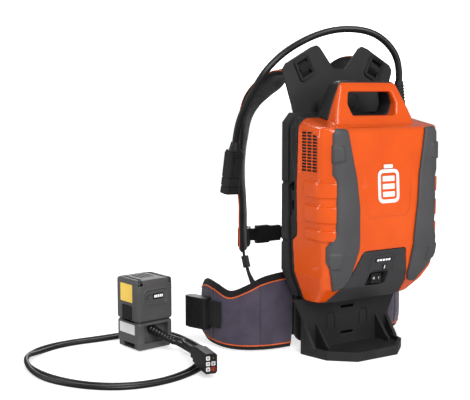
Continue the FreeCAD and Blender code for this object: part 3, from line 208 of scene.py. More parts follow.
nickel = plastic("nickel", (0.55, 0.55, 0.52), (0.70, 0.70, 0.66), 0.28, 0.00002, 0.0002, Metallic=1.0)
brass = plastic("contact_brass", (0.62, 0.44, 0.17), (0.80, 0.60, 0.28), 0.28, 0.00002, 0.0002, Metallic=1.0)
mesh_cloth = cloth("strap_mesh", (0.004, 0.004, 0.005), (0.026, 0.026, 0.029), 0.0026, 0.0026, 0.0006)
edge_cloth = cloth("edge_binding", (0.004, 0.004, 0.005), (0.017, 0.017, 0.019), 0.0011, 0.0016, 0.0003, sheen=0.1)
web_cloth = cloth("webbing", (0.004, 0.004, 0.005), (0.020, 0.020, 0.022), 0.0017, 0.0011, 0.0004, 0.72, 0.1)
belt_cloth = cloth("belt_fabric", (0.040, 0.032, 0.052), (0.085, 0.072, 0.108), 0.0009, 0.0009, 0.00018, 0.8, 0.3)
piping_cloth = cloth("piping", (0.52, 0.075, 0.012), (0.82, 0.15, 0.03), 0.0012, 0.0012, 0.00015, 0.6, 0.2)
thread_cloth = cloth("thread", (0.05, 0.045, 0.055), (0.11, 0.10, 0.12), 0.0008, 0.0008, 0.0001, 0.7, 0.2)

NODE_LOOKS = {
    "foot_plastic": foot_grey, "adapter_shell": adapter_grey, "black_plastic": black, "grey_shell": grey,
    "orange_shell": orange, "clear_window": window, "seal_rubber": rubber, "cell_metal": sleeve, "nickel": nickel,
    "circuit": circuit, "screw_steel": steel, "contact_brass": brass, "cord_rubber": cord_skin,
    "strap_mesh": mesh_cloth, "webbing": web_cloth, "belt_fabric": belt_cloth}
node_slots = {part["node"]: part["material_slot"] for part in frame["record"]["subparts"]}
for name, node in nodes.items():
    look = yoke_grey if name in ("yoke_plate", "harness_frame") else NODE_LOOKS[node_slots[name]]
    for slot in node.material_slots:
        slot.material = look


EASED_EDGES = {
    0.0016: ["stand_foot"], 0.0014: ["yoke_plate", "lead_connector"],
    0.0012: ["adapter_plug", "hip_buckle_socket", "hip_buckle_plug", "chest_sliders"],
    0.001: ["adapter_latch_left", "adapter_latch_right", "harness_frame"],
    0.0008: ["chest_buckle_socket", "chest_buckle_plug", "power_switch", "charge_button"]}


def eased(node, width):
    """Rounds the hard edges of a CAD node with modifiers. Its own mesh stays as it is."""
    node.modifiers.new("weld", "WELD").merge_threshold = 0.00002
    flat = node.modifiers.new("flat", "DECIMATE")
    flat.decimate_type = "DISSOLVE"
    flat.angle_limit = math.radians(1.5)
    soft = node.modifiers.new("soft", "BEVEL")
    soft.width = width
    soft.segments = 2
    soft.limit_method = "ANGLE"
    soft.angle_limit = math.radians(28)
    node.modifiers.new("even", "WEIGHTED_NORMAL")


for width, names in EASED_EDGES.items():
    for name in names:
        eased(nodes[name], width)

# ---- the cords, as free lines of their real length; points of two numbers lie on the floor

lead_route = [
    (105, 18, 472), (105, 18, 496), (98, 22, 521), (84, 30, 541), (64, 40, 556), (39, 54, 563), (8, 71, 563),
    (-28, 82, 554), (-67, 87, 537), (-106, 84, 516), (-138, 86, 487), (-153, 101, 452), (-163, 116, 419),
    (-167, 127, 391), (-168, 131, 366)]
floor_rest = 4.2
adapter_lead_flat = [
    (-276.8, 151.6, 18.5), (-262, 122, 8), (-266, 94), (-282, 66), (-308, 42), (-343, 24), (-386, 13), (-432, 20),
    (-470, 44), (-499, 80), (-518, 123), (-527, 170), (-526, 214), (-514, 251), (-488, 282), (-450, 300), (-404, 305),
    (-354, 302), (-304, 303), (-264, 294), (-236, 273), (-226, 241), (-226, 202), (-228, 160), (-236, 118),
    (-251, 80), (-276, 50), (-310, 27), (-352, 9), (-398, 3), (-442, 11), (-479, 35), (-509, 72), (-530, 116),
    (-538, 158, 8), (-535, 192, 15), (-521, 224, 15), (-501, 250, 8.5), (-474, 274), (-440, 289), (-400, 293),
    (-356, 289), (-312, 291), (-278, 287), (-253, 272), (-240, 245), (-240, 209, 6), (-249, 175, 13), (-264, 146, 22),
    (-279, 124, 26), (-283, 102, 26)]
adapter_lead_route = [point if len(point) == 3 else (*point, floor_rest) for point in adapter_lead_flat]


def cord_curve(name, route, diameter, look):
    """A cord as one smooth open line through its route."""
    curve = bpy.data.curves.new(name, "CURVE")
    curve.dimensions = "3D"
    line = curve.splines.new("NURBS")
    line.points.add(len(route) - 1)
    for point, place in zip(line.points, route):
        point.co = (*(value * MM for value in place), 1)
    line.order_u = 3
    line.use_endpoint_u = True
    line.resolution_u = 10
    curve.bevel_depth = diameter / 2
    curve.bevel_resolution = 7
    curve.use_fill_caps = True
    curve.materials.append(look)
    return linked(name, curve)


power_lead = cord_curve("power_lead_cord", lead_route, 0.012, cord_skin)
adapter_lead = cord_curve("adapter_lead_cord", adapter_lead_route, 0.008, cord_skin)
for made, body, node in ((power_lead, "pack", "power_lead"), (adapter_lead, "adapter", "adapter_lead")):
    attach(made, body)
    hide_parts(node)

# ---- mesh helpers


def mesh_piece(name, points, faces, looks, body, smooth=True, faces_look=None, uvs=None):
    """A mesh piece in metres, with one or more materials, that rides on a body unless it is None."""
    mesh = bpy.data.meshes.new(name)
    mesh.from_pydata([tuple(point) for point in points], [], [tuple(face) for face in faces])
    if uvs is not None:
        layer = mesh.uv_layers.new(name="cloth")
        loops = np.empty(len(mesh.loops), np.int64)
        mesh.loops.foreach_get("vertex_index", loops)
        layer.data.foreach_set("uv", np.asarray(uvs, float)[loops].ravel())
    for look in looks:
        mesh.materials.append(look)
    if faces_look is not None:
        mesh.polygons.foreach_set("material_index", np.asarray(faces_look, np.int32))
    mesh.polygons.foreach_set("use_smooth", [smooth] * len(mesh.polygons))
    mesh.update()
    made = linked(name, mesh)
    if body:
        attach(made, body)
    return made


def resampled(rows, count):
    """Rows of numbers followed smoothly: the first three are a place. Also the distance run at each."""
    rows = np.array(rows, float)
    at = np.concatenate([[0], np.cumsum(np.linalg.norm(np.diff(rows[:, :3], axis=0), axis=1))])
    slopes = np.gradient(rows, at, axis=0)
    run = np.linspace(0, at[-1], count)
    i = np.clip(np.searchsorted(at, run, side="right") - 1, 0, len(at) - 2)
    span = (at[i + 1] - at[i])[:, None]
    t = (run - at[i])[:, None] / span
    held = (2 * t ** 3 - 3 * t ** 2 + 1) * rows[i] + (3 * t ** 2 - 2 * t ** 3) * rows[i + 1]
    leaning = (t ** 3 - 2 * t ** 2 + t) * span * slopes[i] + (t ** 3 - t ** 2) * span * slopes[i + 1]
    return held + leaning, run


def unit(vectors):
    return vectors / np.linalg.norm(vectors, axis=-1, keepdims=True)


def strap_frames(stations, count):
    """Middle, across, normal, width and run along a strap, at even steps."""
    rows, run = resampled([(*m, *d, w) for m, d, w in stations], count)
    middle, across, wide = rows[:, :3], rows[:, 3:6], rows[:, 6]
    along = unit(np.gradient(middle, run, axis=0))
    across = unit(across - along * np.sum(across * along, axis=1, keepdims=True))
    return middle, across, np.cross(along, across), wide, run


def ring_faces(rings, around):
    """Quads between rings of points, and a flat cap at each end."""
    faces = []
    for i in range(rings - 1):
        for j in range(around):
            k = (j + 1) % around
            faces.append((i * around + j, i * around + k, (i + 1) * around + k, (i + 1) * around + j))
    faces.append(tuple(reversed(range(around))))
    faces.append(tuple(range((rings - 1) * around, rings * around)))
    return faces


def tube_along(name, line, radius, look, body, around=8):
    """A thin round tube along a line of points in millimetres."""
    line = np.asarray(line, float)
    along = unit(np.gradient(line, axis=0))
    side = np.cross(along, (0.13, 0.31, 0.94))
    side = unit(side)
    up = np.cross(side, along)
    angles = np.linspace(0, 2 * math.pi, around, endpoint=False)
    rings = (line[:, None] + radius * (side[:, None] * np.cos(angles)[None, :, None]
                                       + up[:, None] * np.sin(angles)[None, :, None]))
    run = np.concatenate([[0], np.cumsum(np.linalg.norm(np.diff(line, axis=0), axis=1))])
    uvs = np.stack(np.broadcast_arrays(run[:, None], (angles * radius)[None]), -1).reshape(-1, 2) * MM
    return mesh_piece(name, rings.reshape(-1, 3) * MM, ring_faces(len(line), around), [look], body, uvs=uvs)


def wrinkle(points, size, depth):
    """A small seeded unevenness at each point, in millimetres."""
    return np.array([noise.noise(Vector(p) / size) for p in points]) * depth


def section(count, flatness, crown):
    """A closed section as shares of the half width and half thickness, crowned and pinched at its sides."""
    angles = np.linspace(0, 2 * math.pi, count, endpoint=False)
    u = np.sign(np.cos(angles)) * np.abs(np.cos(angles)) ** flatness
    v = np.sign(np.sin(angles)) * np.abs(np.sin(angles)) ** crown
    return u, v


# ---- flat webbing


def webbing(name, stations, node, body, thick=2.5, count=None):
    """Woven strap: flat with rounded selvedges, and a raised band along each side, a little inside its CAD solid."""
    share = 0.94
    length = sum(math.dist(a[0], b[0]) for a, b in zip(stations, stations[1:]))
    count = count or max(12, int(length / 3))
    middle, across, normal, wide, run = strap_frames(stations, count)
    u, v = section(28, 0.55, 0.5)
    ridge = 1 + 0.16 * np.cos(u * 2 * math.pi * 1.5)
    offset_u = wide[:, None] / 2 * share * u[None]
    offset_v = (thick / 2 * share) * (v * ridge / ridge.max())[None] + 0 * offset_u
    sway = wrinkle(middle, 30, 0.5)[:, None]
    rings = (middle[:, None] + across[:, None] * offset_u[..., None] + normal[:, None] * (offset_v + sway)[..., None])
    uvs = np.stack([np.broadcast_to(run[:, None], offset_u.shape), offset_u], -1).reshape(-1, 2) * MM
    made = mesh_piece(name, rings.reshape(-1, 3) * MM, ring_faces(count, len(u)), [web_cloth], body, uvs=uvs)
    if node:
        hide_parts(node)
    return made


# ---- shoulder pads

left_pad = [
    ((-86, 78, 492), (0.89, 0, 0.46), 44), ((-93, 97, 485), (0.95, 0.05, 0.12), 48),
    ((-100, 120, 469), (0.93, 0.15, -0.2), 54), ((-105, 148, 452), (0.9, 0.3, -0.24), 58),
    ((-109, 172, 428), (0.82, 0.52, -0.12), 62), ((-111, 186, 402), (0.72, 0.68, 0), 62),
    ((-112, 194, 366), (0.63, 0.77, 0), 62), ((-113, 200, 328), (0.6, 0.8, 0), 62),
    ((-113, 200, 290), (0.6, 0.8, 0), 62), ((-112, 196, 245), (0.6, 0.8, 0), 60),
    ((-110, 198, 200), (0.62, 0.78, 0), 56), ((-108, 198, 160), (0.65, 0.75, 0), 48)]
right_pad = [
    ((86, 78, 496), (0.89, 0, -0.46), 42), ((82, 98, 500), (0.72, 0, -0.69), 42),
    ((79, 122, 501), (0.7, 0.05, -0.71), 46), ((81, 152, 492), (0.84, -0.1, -0.5), 56),
    ((90, 178, 468), (0.9, -0.3, -0.15), 62), ((98, 194, 434), (0.88, -0.4, 0), 62),
    ((104, 202, 396), (0.88, -0.45, 0), 62), ((108, 204, 352), (0.88, -0.45, 0), 62),
    ((110, 202, 306), (0.88, -0.45, 0), 62), ((110, 198, 256), (0.88, -0.45, 0), 60),
    ((110.3, 198, 206), (0.88, -0.4, 0), 56), ((108, 198, 160), (0.88, -0.4, 0), 48)]
left_web = [
    ((-108.5, 198, 170), (0.65, 0.75, 0), 25), ((-107.75, 198, 155), (0.65, 0.75, 0), 25),
    ((-106, 191, 132), (0.67, 0.73, 0), 25), ((-104.5, 184, 116), (0.7, 0.7, 0), 25),
    ((-101, 170, 97), (0.78, 0.6, 0.1), 25), ((-92, 142, 82), (0.9, 0.3, 0.1), 25),
    ((-82, 110, 75), (0.95, 0.2, 0.1), 25), ((-75, 80, 72), (0.95, 0, 0.1), 25)]
left_chest = [((-88, 223.5, 184), (0, 0, 1), 25), ((-76, 226.5, 183), (0, 0, 1), 25), ((-60, 227, 182), (0, 0, 1), 25)]
right_chest = [((-9, 227, 182), (0, 0, 1), 25), ((30, 226, 182), (0, 0, 1), 25), ((62, 221, 183), (0, 0, 1), 25),
               ((80, 211.5, 184), (0, 0, 1), 25)]
hip_web = [((-204.4, 121, 64), (0, 0, 1), 50), ((-211, 139, 64), (0, 0, 1), 50), ((-219, 160, 64), (0, 0, 1), 50)]


def other_side(stations):
    return [((-m[0], m[1], m[2]), (-d[0], d[1], d[2]), wide) for m, d, wide in stations]


def pad_blend(made):
    """Bakes the piece's place into its mesh; the piece rides on no body."""
    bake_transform(made)


def shoulder_pad(side, stations):
    """Foam pad: spacer mesh towards the wearer, purple cloth outside, bound edges and orange piping."""
    count, half_thick, bound = 150, 15.0 / 2 * 0.93, 0.86
    middle, across, normal, wide, run = strap_frames(stations, count)
    u, v = section(44, 0.62, 0.62)
    pinch = 0.30 + 0.70 * (1 - np.abs(u) ** 5)
    ends = np.clip(np.minimum(run, run[-1] - run) / 9, 0, 1)
    swell = 0.42 + 0.58 * np.sqrt(1 - (1 - ends) ** 2)
    channels = 1 - 0.16 * np.exp(-((np.abs(u) - 0.36) / 0.05) ** 2)
    lumps = wrinkle(middle, 24, 0.10)
    offset_u = (wide[:, None] / 2 - 0.6) * u[None]
    offset_v = half_thick * (v * pinch * channels)[None] * (swell + lumps)[:, None]
    rings = middle[:, None] + across[:, None] * offset_u[..., None] + normal[:, None] * offset_v[..., None]
    uvs = np.stack([np.broadcast_to(run[:, None], offset_u.shape), offset_u + 40 * (v > 0)[None]], -1)
    uvs = uvs.reshape(-1, 2) * MM
    mid_u, mid_v = (u + np.roll(u, -1)) / 2, v + np.roll(v, -1)
    one_ring = np.where(np.abs(mid_u) > bound, 2, np.where(mid_v > 0, 0, 1)).tolist()
    made = mesh_piece("shoulder_pad_%s_cloth" % side, rings.reshape(-1, 3) * MM, ring_faces(count, len(u)),
                      [mesh_cloth, belt_cloth, edge_cloth], None,
                      faces_look=one_ring * (count - 1) + [2, 2], uvs=uvs)
    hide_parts("shoulder_pad_" + side)
    pad_blend(made)
    for edge in (-1, 1):
        shift = (wide / 2 - 0.6) * bound * edge
        reach = half_thick * 0.66 * (swell + lumps)
        line = middle + across * shift[:, None] - normal * reach[:, None]
        name = "shoulder_piping_%s_%d" % (side, edge + 1)
        pad_blend(tube_along(name, line[2:-2], 1.0, piping_cloth, None))


for side, pad, web, chest, hip in (("left", left_pad, left_web, left_chest, hip_web),
                                   ("right", right_pad, other_side(left_web), right_chest, other_side(hip_web))):
    shoulder_pad(side, pad)
    webbing("shoulder_webbing_%s_cloth" % side, web, "shoulder_webbing_" + side, "pack")
    webbing("chest_strap_%s_cloth" % side, chest, "chest_strap_" + side, "pack")
    webbing("hip_webbing_%s_cloth" % side, hip, "hip_webbing_" + side, "hip_wing_" + side)

# the webbing that shows in the yoke's two ladder buckles
yoke_turn = math.radians(27)
for side, sign in SIDES:
    along = Vector((math.sin(yoke_turn) * sign, 0, math.cos(yoke_turn)))
    across = (math.cos(yoke_turn), 0, -math.sin(yoke_turn) * sign)
    spot = Vector((77 * sign, 61.75, 494))
    stations = [(tuple(spot + along * reach), across, 25) for reach in (-26, -12, 0, 14)]
    webbing("yoke_webbing_%s_cloth" % side, stations, "yoke_webbing_" + side, "yoke")
    threaded = [(-19, 61.5), (-9, 59), (-5.5, 54), (-3, 51.6), (3, 51.6), (5.5, 54), (9, 59), (19, 61.5)]
    stations = [((spot.x + along.x * reach, y, spot.z + along.z * reach), across, 24) for reach, y in threaded]
    webbing("yoke_window_%s_cloth" % side, stations, None, "yoke", 1.6, 40)

# ---- hip belt wings

wing_plan = [((-92, 64), 4, 141), ((-120, 65), 4, 139), ((-150, 71), 4, 133), ((-176, 85), 4, 119),
             ((-196, 109), 4, 108), ((-207, 140), 6, 118), ((-209, 170), 10, 122), ((-204, 198), 20, 112)]


def hip_wing(side):
    """Padded wing: woven cloth outside, mesh inside, black edges beyond orange piping, sewn seams."""
    sign = -dict(SIDES)[side]
    count, around, thick = 130, 48, 14.0
    rows, run = resampled([(x * sign, y, 0, low, high) for (x, y), low, high in wing_plan], count)
    line, low, high = rows[:, :3], rows[:, 3], rows[:, 4]
    along = unit(np.gradient(line, run, axis=0))
    inward = np.stack([along[:, 1], -along[:, 0], 0 * run], -1) * sign
    u, v = section(around, 0.60, 0.60)
    tip = np.clip((run[-1] - run) / 16, 0.02, 1)
    close = np.sqrt(1 - (1 - tip) ** 2)
    centre = (low + high) / 2
    half = (high - low) / 2 * (0.72 + 0.28 * close)
    pinch = 0.34 + 0.66 * (1 - np.abs(u) ** 7)
    seams = np.ones(count)
    for at, deep in ((0.30, 0.45), (0.74, 0.35)):
        seams -= deep * np.exp(-((run - run[-1] * at) / 1.8) ** 2)
    lumps = 1 + wrinkle(line + [[0, 0, 40]], 32, 0.10)
    body_v = v * pinch
    offset_v = thick / 2 * 0.95 * body_v[None] * (close * seams * lumps)[:, None]
    offset_v += thick / 2
    z = centre[:, None] + half[:, None] * u[None]
    offset_v += 0.5 * np.sin(z / 17 + run[:, None] / 23) * (1 - u ** 2)[None]
    rings = line[:, None] + inward[:, None] * offset_v[..., None]
    rings[..., 2] = z
    uvs = np.stack([np.broadcast_to(run[:, None], z.shape), z + 200 * (v > 0)[None]], -1).reshape(-1, 2) * MM
    face_look = []
    for i in range(count - 1):
        top, bottom = high[i] - 12.5, low[i] + 8.5
        for j in range(around):
            k = (j + 1) % around
            mid = (z[i, j] + z[i, k]) / 2
            face_look.append(2 if mid > top or mid < bottom else (0 if v[j] + v[k] > 0 else 1))
    face_look += [2, 2]
    name = "hip_belt_%s_cloth" % side
    made = mesh_piece(name, rings.reshape(-1, 3) * MM, ring_faces(count, around),
                      [mesh_cloth, belt_cloth, edge_cloth], None, faces_look=face_look, uvs=uvs)
    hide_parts("hip_belt_" + side)

    def follow(piece):
        """Bakes the piece's place into its mesh; the piece rides on no body."""
        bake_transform(piece)

    follow(made)

    gusset = [((-x * sign, y, 77), (0, 0, 1), 110) for x, y in ((84, 65), (88, 66.5), (93, 69.5), (99, 71))]
    follow(webbing("hip_gusset_" + side, gusset, None, None, 4, 12))

    def surface(i, height, face):
        """A point on the outer or inner face of the wing at a height."""
        share = np.clip((height - centre[i]) / half[i], -0.999, 0.999)
        angle = np.arccos(np.sign(share) * np.abs(share) ** (1 / 0.60))
        push = face * np.abs(np.sin(angle)) ** 0.60 * (0.34 + 0.66 * (1 - abs(share) ** 7))
        depth = thick / 2 * (1 + 0.95 * push * close[i] * seams[i] * lumps[i])
        depth += 0.5 * math.sin(height / 17 + run[i] / 23) * (1 - share ** 2)
        spot = line[i] + inward[i] * depth
        return (spot[0], spot[1], height)

    for tag, height in (("top", lambda i: high[i] - 12.5), ("bottom", lambda i: low[i] + 8.5)):
        path = [surface(i, height(i), -1) for i in range(0, count - 3)]
        follow(tube_along("hip_piping_%s_%s" % (side, tag), path, 1.25, piping_cloth, None))
    for at in (0.30, 0.74):
        i = int(round(count * at))
        for shift in (-2, 2):
            path = [surface(i + shift, h, -1) for h in np.linspace(low[i] + 10, high[i] - 14, 40)]
            name = "hip_stitch_%s_%d_%d" % (side, int(at * 100), shift + 2)
            follow(tube_along(name, path, 0.28, thread_cloth, None, 5))


hip_wing("left")
hip_wing("right")

# ---- solids from distance fields


def outline_distance(points, u, v):
    """Distance to an outline, negative inside it."""
    points = np.array(points, float)
    shape = np.broadcast(u, v).shape
    nearest, sign = np.full(shape, 1e9), np.ones(shape)
    for a, b in zip(points, np.roll(points, -1, axis=0)):
        edge = b - a
        du, dv = u - a[0], v - a[1]
        t = np.clip((du * edge[0] + dv * edge[1]) / (edge @ edge), 0, 1)
        nearest = np.minimum(nearest, (du - t * edge[0]) ** 2 + (dv - t * edge[1]) ** 2)
        above, below, left = v >= a[1], v < b[1], edge[0] * dv > edge[1] * du
        sign = np.where((above & below & left) | (~above & ~below & ~left), -sign, sign)
    return sign * np.sqrt(nearest)


def rounded(points, radius, steps=4):
    """The outline with each corner eased by an arc, as large as its sides allow."""
    made = []
    for i, corner in enumerate(points):
        corner = Vector(corner)
        back, ahead = Vector(points[i - 1]) - corner, Vector(points[(i + 1) % len(points)]) - corner
        half = back.angle(ahead) / 2
        reach = min(radius / max(math.tan(half), 1e-6), 0.45 * min(back.length, ahead.length))
        first, last = corner + back.normalized() * reach, corner + ahead.normalized() * reach
        for step in range(steps + 1):
            t = step / steps
            made.append(tuple(first * (1 - t) ** 2 + corner * (2 * t * (1 - t)) + last * t ** 2))
    return made


def rect(u0, v0, u1, v1):
    return [(u0, v0), (u1, v0), (u1, v1), (u0, v1)]


def both_sides(points):
    return list(points) + [(-u, v) for u, v in reversed(points) if u]


def meet(a, b, radius):
    """Where both solids are, with a rounded edge."""
    return np.minimum(-radius, np.maximum(a, b)) + np.hypot(np.maximum(a + radius, 0), np.maximum(b + radius, 0))


def merge(a, b, radius):
    """Either solid, with a fillet where they join."""
    return -meet(-a, -b, radius)


def ramp(value):
    value = np.clip(value, 0, 1)
    return value * value * (3 - 2 * value)


class Block:
    """A grid over half of a piece that is the same on both sides of the middle plane, or over all of one."""

    def __init__(self, y, z, step, x_high=134, whole=False):
        self.step, self.low, self.whole = step, (y[0], z[0]), whole
        self.count = int(x_high / step) * (2 if whole else 1)
        start = -self.count / 2 if whole else 0
        self.x = ((np.arange(self.count) + 0.5 + start) * step).reshape(-1, 1, 1)
        self.y = np.arange(y[0], y[1], step).reshape(1, -1, 1)
        self.z = np.arange(z[0], z[1], step).reshape(1, 1, -1)

    def side(self, points):
        return outline_distance(points, self.y, self.z)

    def front(self, points):
        return outline_distance(points, self.x, self.z)

    def envelope(self):
        side = self.side(rounded([(-72, 394), (-80, 268), (-76, 196), (-61, 153), (-47, 127), (-16, 97), (25, 80),
                                  (34, 82), (34, 417)], 11))
        front = self.front(rounded(both_sides([
            (0, 87), (61, 90.5), (98, 98), (119, 150), (121, 200), (125, 300), (125, 396), (113, 412),
            (113, 440)]), 10))
        facet = (self.x - self.y - 181) / math.sqrt(2)
        return meet(meet(side, front, 8), facet, 4.5).astype(np.float32)

    def seam(self):
        return self.side([(-110, 60), (22, 60), (22, 161), (24, 204), (11, 214), (9, 290), (6, 357), (4, 399),
                          (4, 440), (4, 500), (-110, 500)])

    def handle(self):
        side = self.side(rounded([(-48, 396), (-24, 466), (-19, 471), (-4, 473), (8, 467), (13, 426), (15, 404)], 7))
        front = self.front(rounded(both_sides([(0, 390), (86, 390), (83, 408), (76, 430), (58, 474), (0, 474)]), 16))
        grip = self.front(rounded([(-46, 414), (46, 414), (52, 433), (46, 453), (-46, 453), (-52, 433)], 7))
        return meet(meet(side, front, 5), -grip, 4)

    def meshed(self, field, adaptivity=0.02):
        """Points in metres, and faces, where the field is zero."""
        band = 3 * self.step
        field = np.clip(np.broadcast_to(field, (self.count, self.y.size, self.z.size)), -band, band)
        grid = openvdb.FloatGrid(band)
        if not self.whole:
            field = np.concatenate([field[::-1], field])
        grid.copyFromArray(np.ascontiguousarray(field, np.float32))
        points, triangles, quads = grid.convertToPolygons(isovalue=0.0, adaptivity=adaptivity)
        points = points * self.step + [(1 - len(field)) / 2 * self.step, *self.low]
        faces = [tuple(face[::-1]) for face in quads.tolist()] + [tuple(face[::-1]) for face in triangles.tolist()]
        return points, faces


def field_piece(name, shape, looks, body, node, pick=None, flat=False):
    """A piece from meshed points and faces, in place of a CAD node. pick gives a face's material from its middle,
    and flat lays a cloth on it from the front."""
    points, faces = shape
    chosen = pick(np.array([points[list(face)].mean(axis=0) for face in faces])) if pick else None
    uvs = points[:, [0, 2]] * MM if flat else None
    made = mesh_piece(name, points * MM, faces, looks, body, faces_look=chosen, uvs=uvs)
    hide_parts(node)
    return made


def one_side(shape, sign):
    """The part of a meshed shape on one side of the middle plane."""
    points, faces = shape
    keep = points[:, 0] * sign > 0
    index = np.cumsum(keep) - 1
    return points[keep], [tuple(index[list(face)]) for face in faces if keep[face[0]]]


fine = 1.0
coarse = 1.3
case_seam, case_wall, vent_pitch = 1.6, 3, 5.1
rib_rise, lip_rise = 4.2, 1.6

# front cover
block = Block((-86, 30), (78, 478), fine)
case = block.envelope()
seam = block.seam()
ribs = 0
for low, high in ((211, 231), (241, 270), (282, 309)):
    patch = block.side(rounded(rect(-78, low, -14, high), 5))
    ribs = ribs + rib_rise * ramp(-patch / 3.0 + 0.15)
ribs = ribs * ramp((block.x - 104) / 3)
lip = block.front(rounded(both_sides([(0, 246), (41, 246), (48, 262), (53, 336), (0, 336)]), 6))
lip = lip_rise * ramp(-lip / 3) * (1 - ramp((block.z - 285) / 45)) * (block.y < -40)
vent_frame = block.side(rounded([(-50, 319), (2, 319), (2, 392), (-33, 392), (-50, 379)], 6))
vent_frame = 1.2 * ramp(-vent_frame / 1.0) - 0.8 * np.exp(-((vent_frame - 0.9) / 0.8) ** 2)
vent_frame = vent_frame * ramp((block.x - 108) / 2)
skin = case - ribs - lip + vent_frame
vents = np.full((1, block.y.size, block.z.size), 1e3)
for row in range(13):
    for column in range(3):
        if (column, row) == (0, 12):
            continue
        y, z = -39 + column * 14.5, 325.5 + row * vent_pitch
        vents = np.minimum(vents, np.maximum(np.abs(block.y - y) - 6, np.abs(block.z - z) - 1.55))
vents = np.maximum(vents, 112 - block.x)
panel_outline = rounded(both_sides([(0, 60), (80, 60), (80, 100), (60, 150), (50, 176), (46, 190), (0, 190)]), 11)
panel_gap = block.front(panel_outline)
cover = meet(skin, 0.9 - panel_gap, 1.2)
cover = np.maximum(cover, seam)
handle = block.handle()
cover = merge(cover, meet(handle, block.y + 20.2, 0.8), 3)
cover = np.maximum(np.maximum(cover, -(case + case_wall)), -vents)
field_piece("front_cover_shell", block.meshed(cover), [orange], "pack", "front_cover")

# bumpers over the front corners
block = Block((-92, -18), (116, 400), coarse)
case = block.envelope()
zone = block.front(rounded([
    (83, 394), (75, 352), (67, 314), (62, 262), (58.5, 206), (60.5, 176), (64, 142), (72, 127), (89, 122),
    (104, 148), (118, 178), (118, 205), (107, 221), (106.5, 311), (112, 321), (112, 386), (104, 396)], 5))
bumper = meet(case - 5, zone + 0.3, 3.5)
brackets = np.minimum(block.front([(93, 343), (113, 340), (113, 369), (96, 366)]),
                      block.front([(93, 166), (110, 166), (117, 176), (117, 192), (94, 192)]))
bumper = merge(bumper, meet(case - 8, brackets, 1.6), 1.5)
bumper = np.maximum(np.maximum(bumper, 0.15 - case), block.y + 22)
for side, sign in SIDES:
    shape = one_side(block.meshed(bumper), sign)
    field_piece("bumper_%s_shell" % side, shape, [grey], "pack", "bumper_" + side)

# control panel with the recess of the switch
block = Block((-84, 24), (70, 194), fine)
case = block.envelope()
tilt, panel_y, panel_z = math.radians(19.2), -68, 173
up = -(block.y - panel_y) * math.sin(tilt) + (block.z - panel_z) * math.cos(tilt)
frame_line = np.hypot(np.maximum(np.abs(block.x) - 24, 0), np.maximum(np.abs(up + 7) - 13, 0)) - 4
groove = 0.7 * ramp(1.2 - np.abs(frame_line) / 0.8) * (block.y < -50)
mouth = block.front(rounded([(-22, 126), (22, 126), (20, 149), (15, 153), (-15, 153), (-20, 149)], 3))
mouth = np.maximum(mouth, block.y + 38)
tub = np.maximum(np.abs(block.x) - 24, np.abs(block.z - 139.5) - 15.5)
tub = np.maximum(tub, np.maximum(block.y + 36, case - 0.8))
panel = meet(case - 1 + groove, block.front(panel_outline), 1.8)
panel = np.maximum(panel, -(case + 2.9))
panel = np.maximum(np.minimum(panel, tub), block.y - 22)
panel = meet(panel, -mouth, 1.2)
field_piece("control_panel_shell", block.meshed(panel), [panel_grey], "pack", "control_panel")

# rear housing, with the black half of the handle and the black side recess
block = Block((-24, 38), (76, 478), coarse)
case = block.envelope()
seam = block.seam()
recess_outline = rounded([(15, 307), (36, 295), (36, 236), (18, 252)], 2)
recess = 2.3 * ramp(-block.side(recess_outline) / 1.5) * ramp((block.x - 116) / 2)
line_a = block.side([(10, 396), (21, 392), (21, 350), (12, 322), (11, 322), (20, 350), (20, 391), (10, 395)])
line_b = block.side([(23, 226), (34, 219), (34, 218), (23, 225)])
grooves = 0.9 * (ramp(1.0 - line_a / 1.2) + ramp(1.0 - line_b / 1.2)) * ramp((block.x - 116) / 2)
housing = np.maximum(case + recess + grooves, -(case + case_wall))
housing = np.maximum(housing, case_seam - seam)
handle = meet(block.handle(), -block.y - 19.8, 0.8)
handle = np.maximum(handle, np.where(block.y < 6, 0.3 - case, -2.5 - case))
housing = merge(housing, handle, 1.5)


def housing_look(middles):
    inside = outline_distance(recess_outline, middles[:, 1], middles[:, 2]) < 0
    in_handle = (middles[:, 2] > 417) | ((middles[:, 1] < 4) & (middles[:, 2] > 395))
    return np.where((inside & (np.abs(middles[:, 0]) > 119)) | in_handle, 1, 0)


field_piece("rear_housing_shell", block.meshed(housing), [housing_grey, black], "pack", "rear_housing",
            housing_look)
gasket = np.maximum(np.maximum(np.abs(case + 1.7) - 0.9, -seam - 0.2), seam - case_seam - 0.2)
field_piece("case_gasket_ring", block.meshed(gasket), [rubber], "pack", "case_gasket")

# back pad and lumbar pad, crowned, with sewn channels


def cushion(node, outline, low_y, high_y, lines):
    z = [point[1] for point in outline]
    block = Block((low_y - 4, high_y + 4), (min(z) - 4, max(z) + 4), 1.6, 96)
    edge = block.front(rounded(both_sides(outline), 12))
    crown = np.sqrt(1 - (1 - np.clip(-edge / 15, 0, 1)) ** 2)
    height = low_y + 3 + (high_y - low_y - 3.4) * crown
    for (u0, v0), (u1, v1) in lines:
        near = block.front([(u0, v0), (u1, v1), (u1 + 0.1, v1 + 0.1), (u0 + 0.1, v0 + 0.1)])
        height = height - 5.0 * np.exp(-(near / 3.2) ** 2)
    height = height + 0.5 * np.sin(block.x / 9) * np.sin(block.z / 11) * crown
    field = meet(meet((block.y - height) * 0.8, edge, 2), low_y + 0.3 - block.y, 1)
    made = field_piece(node + "_cloth", block.meshed(field, 0.0), [mesh_cloth], "pack", node, flat=True)


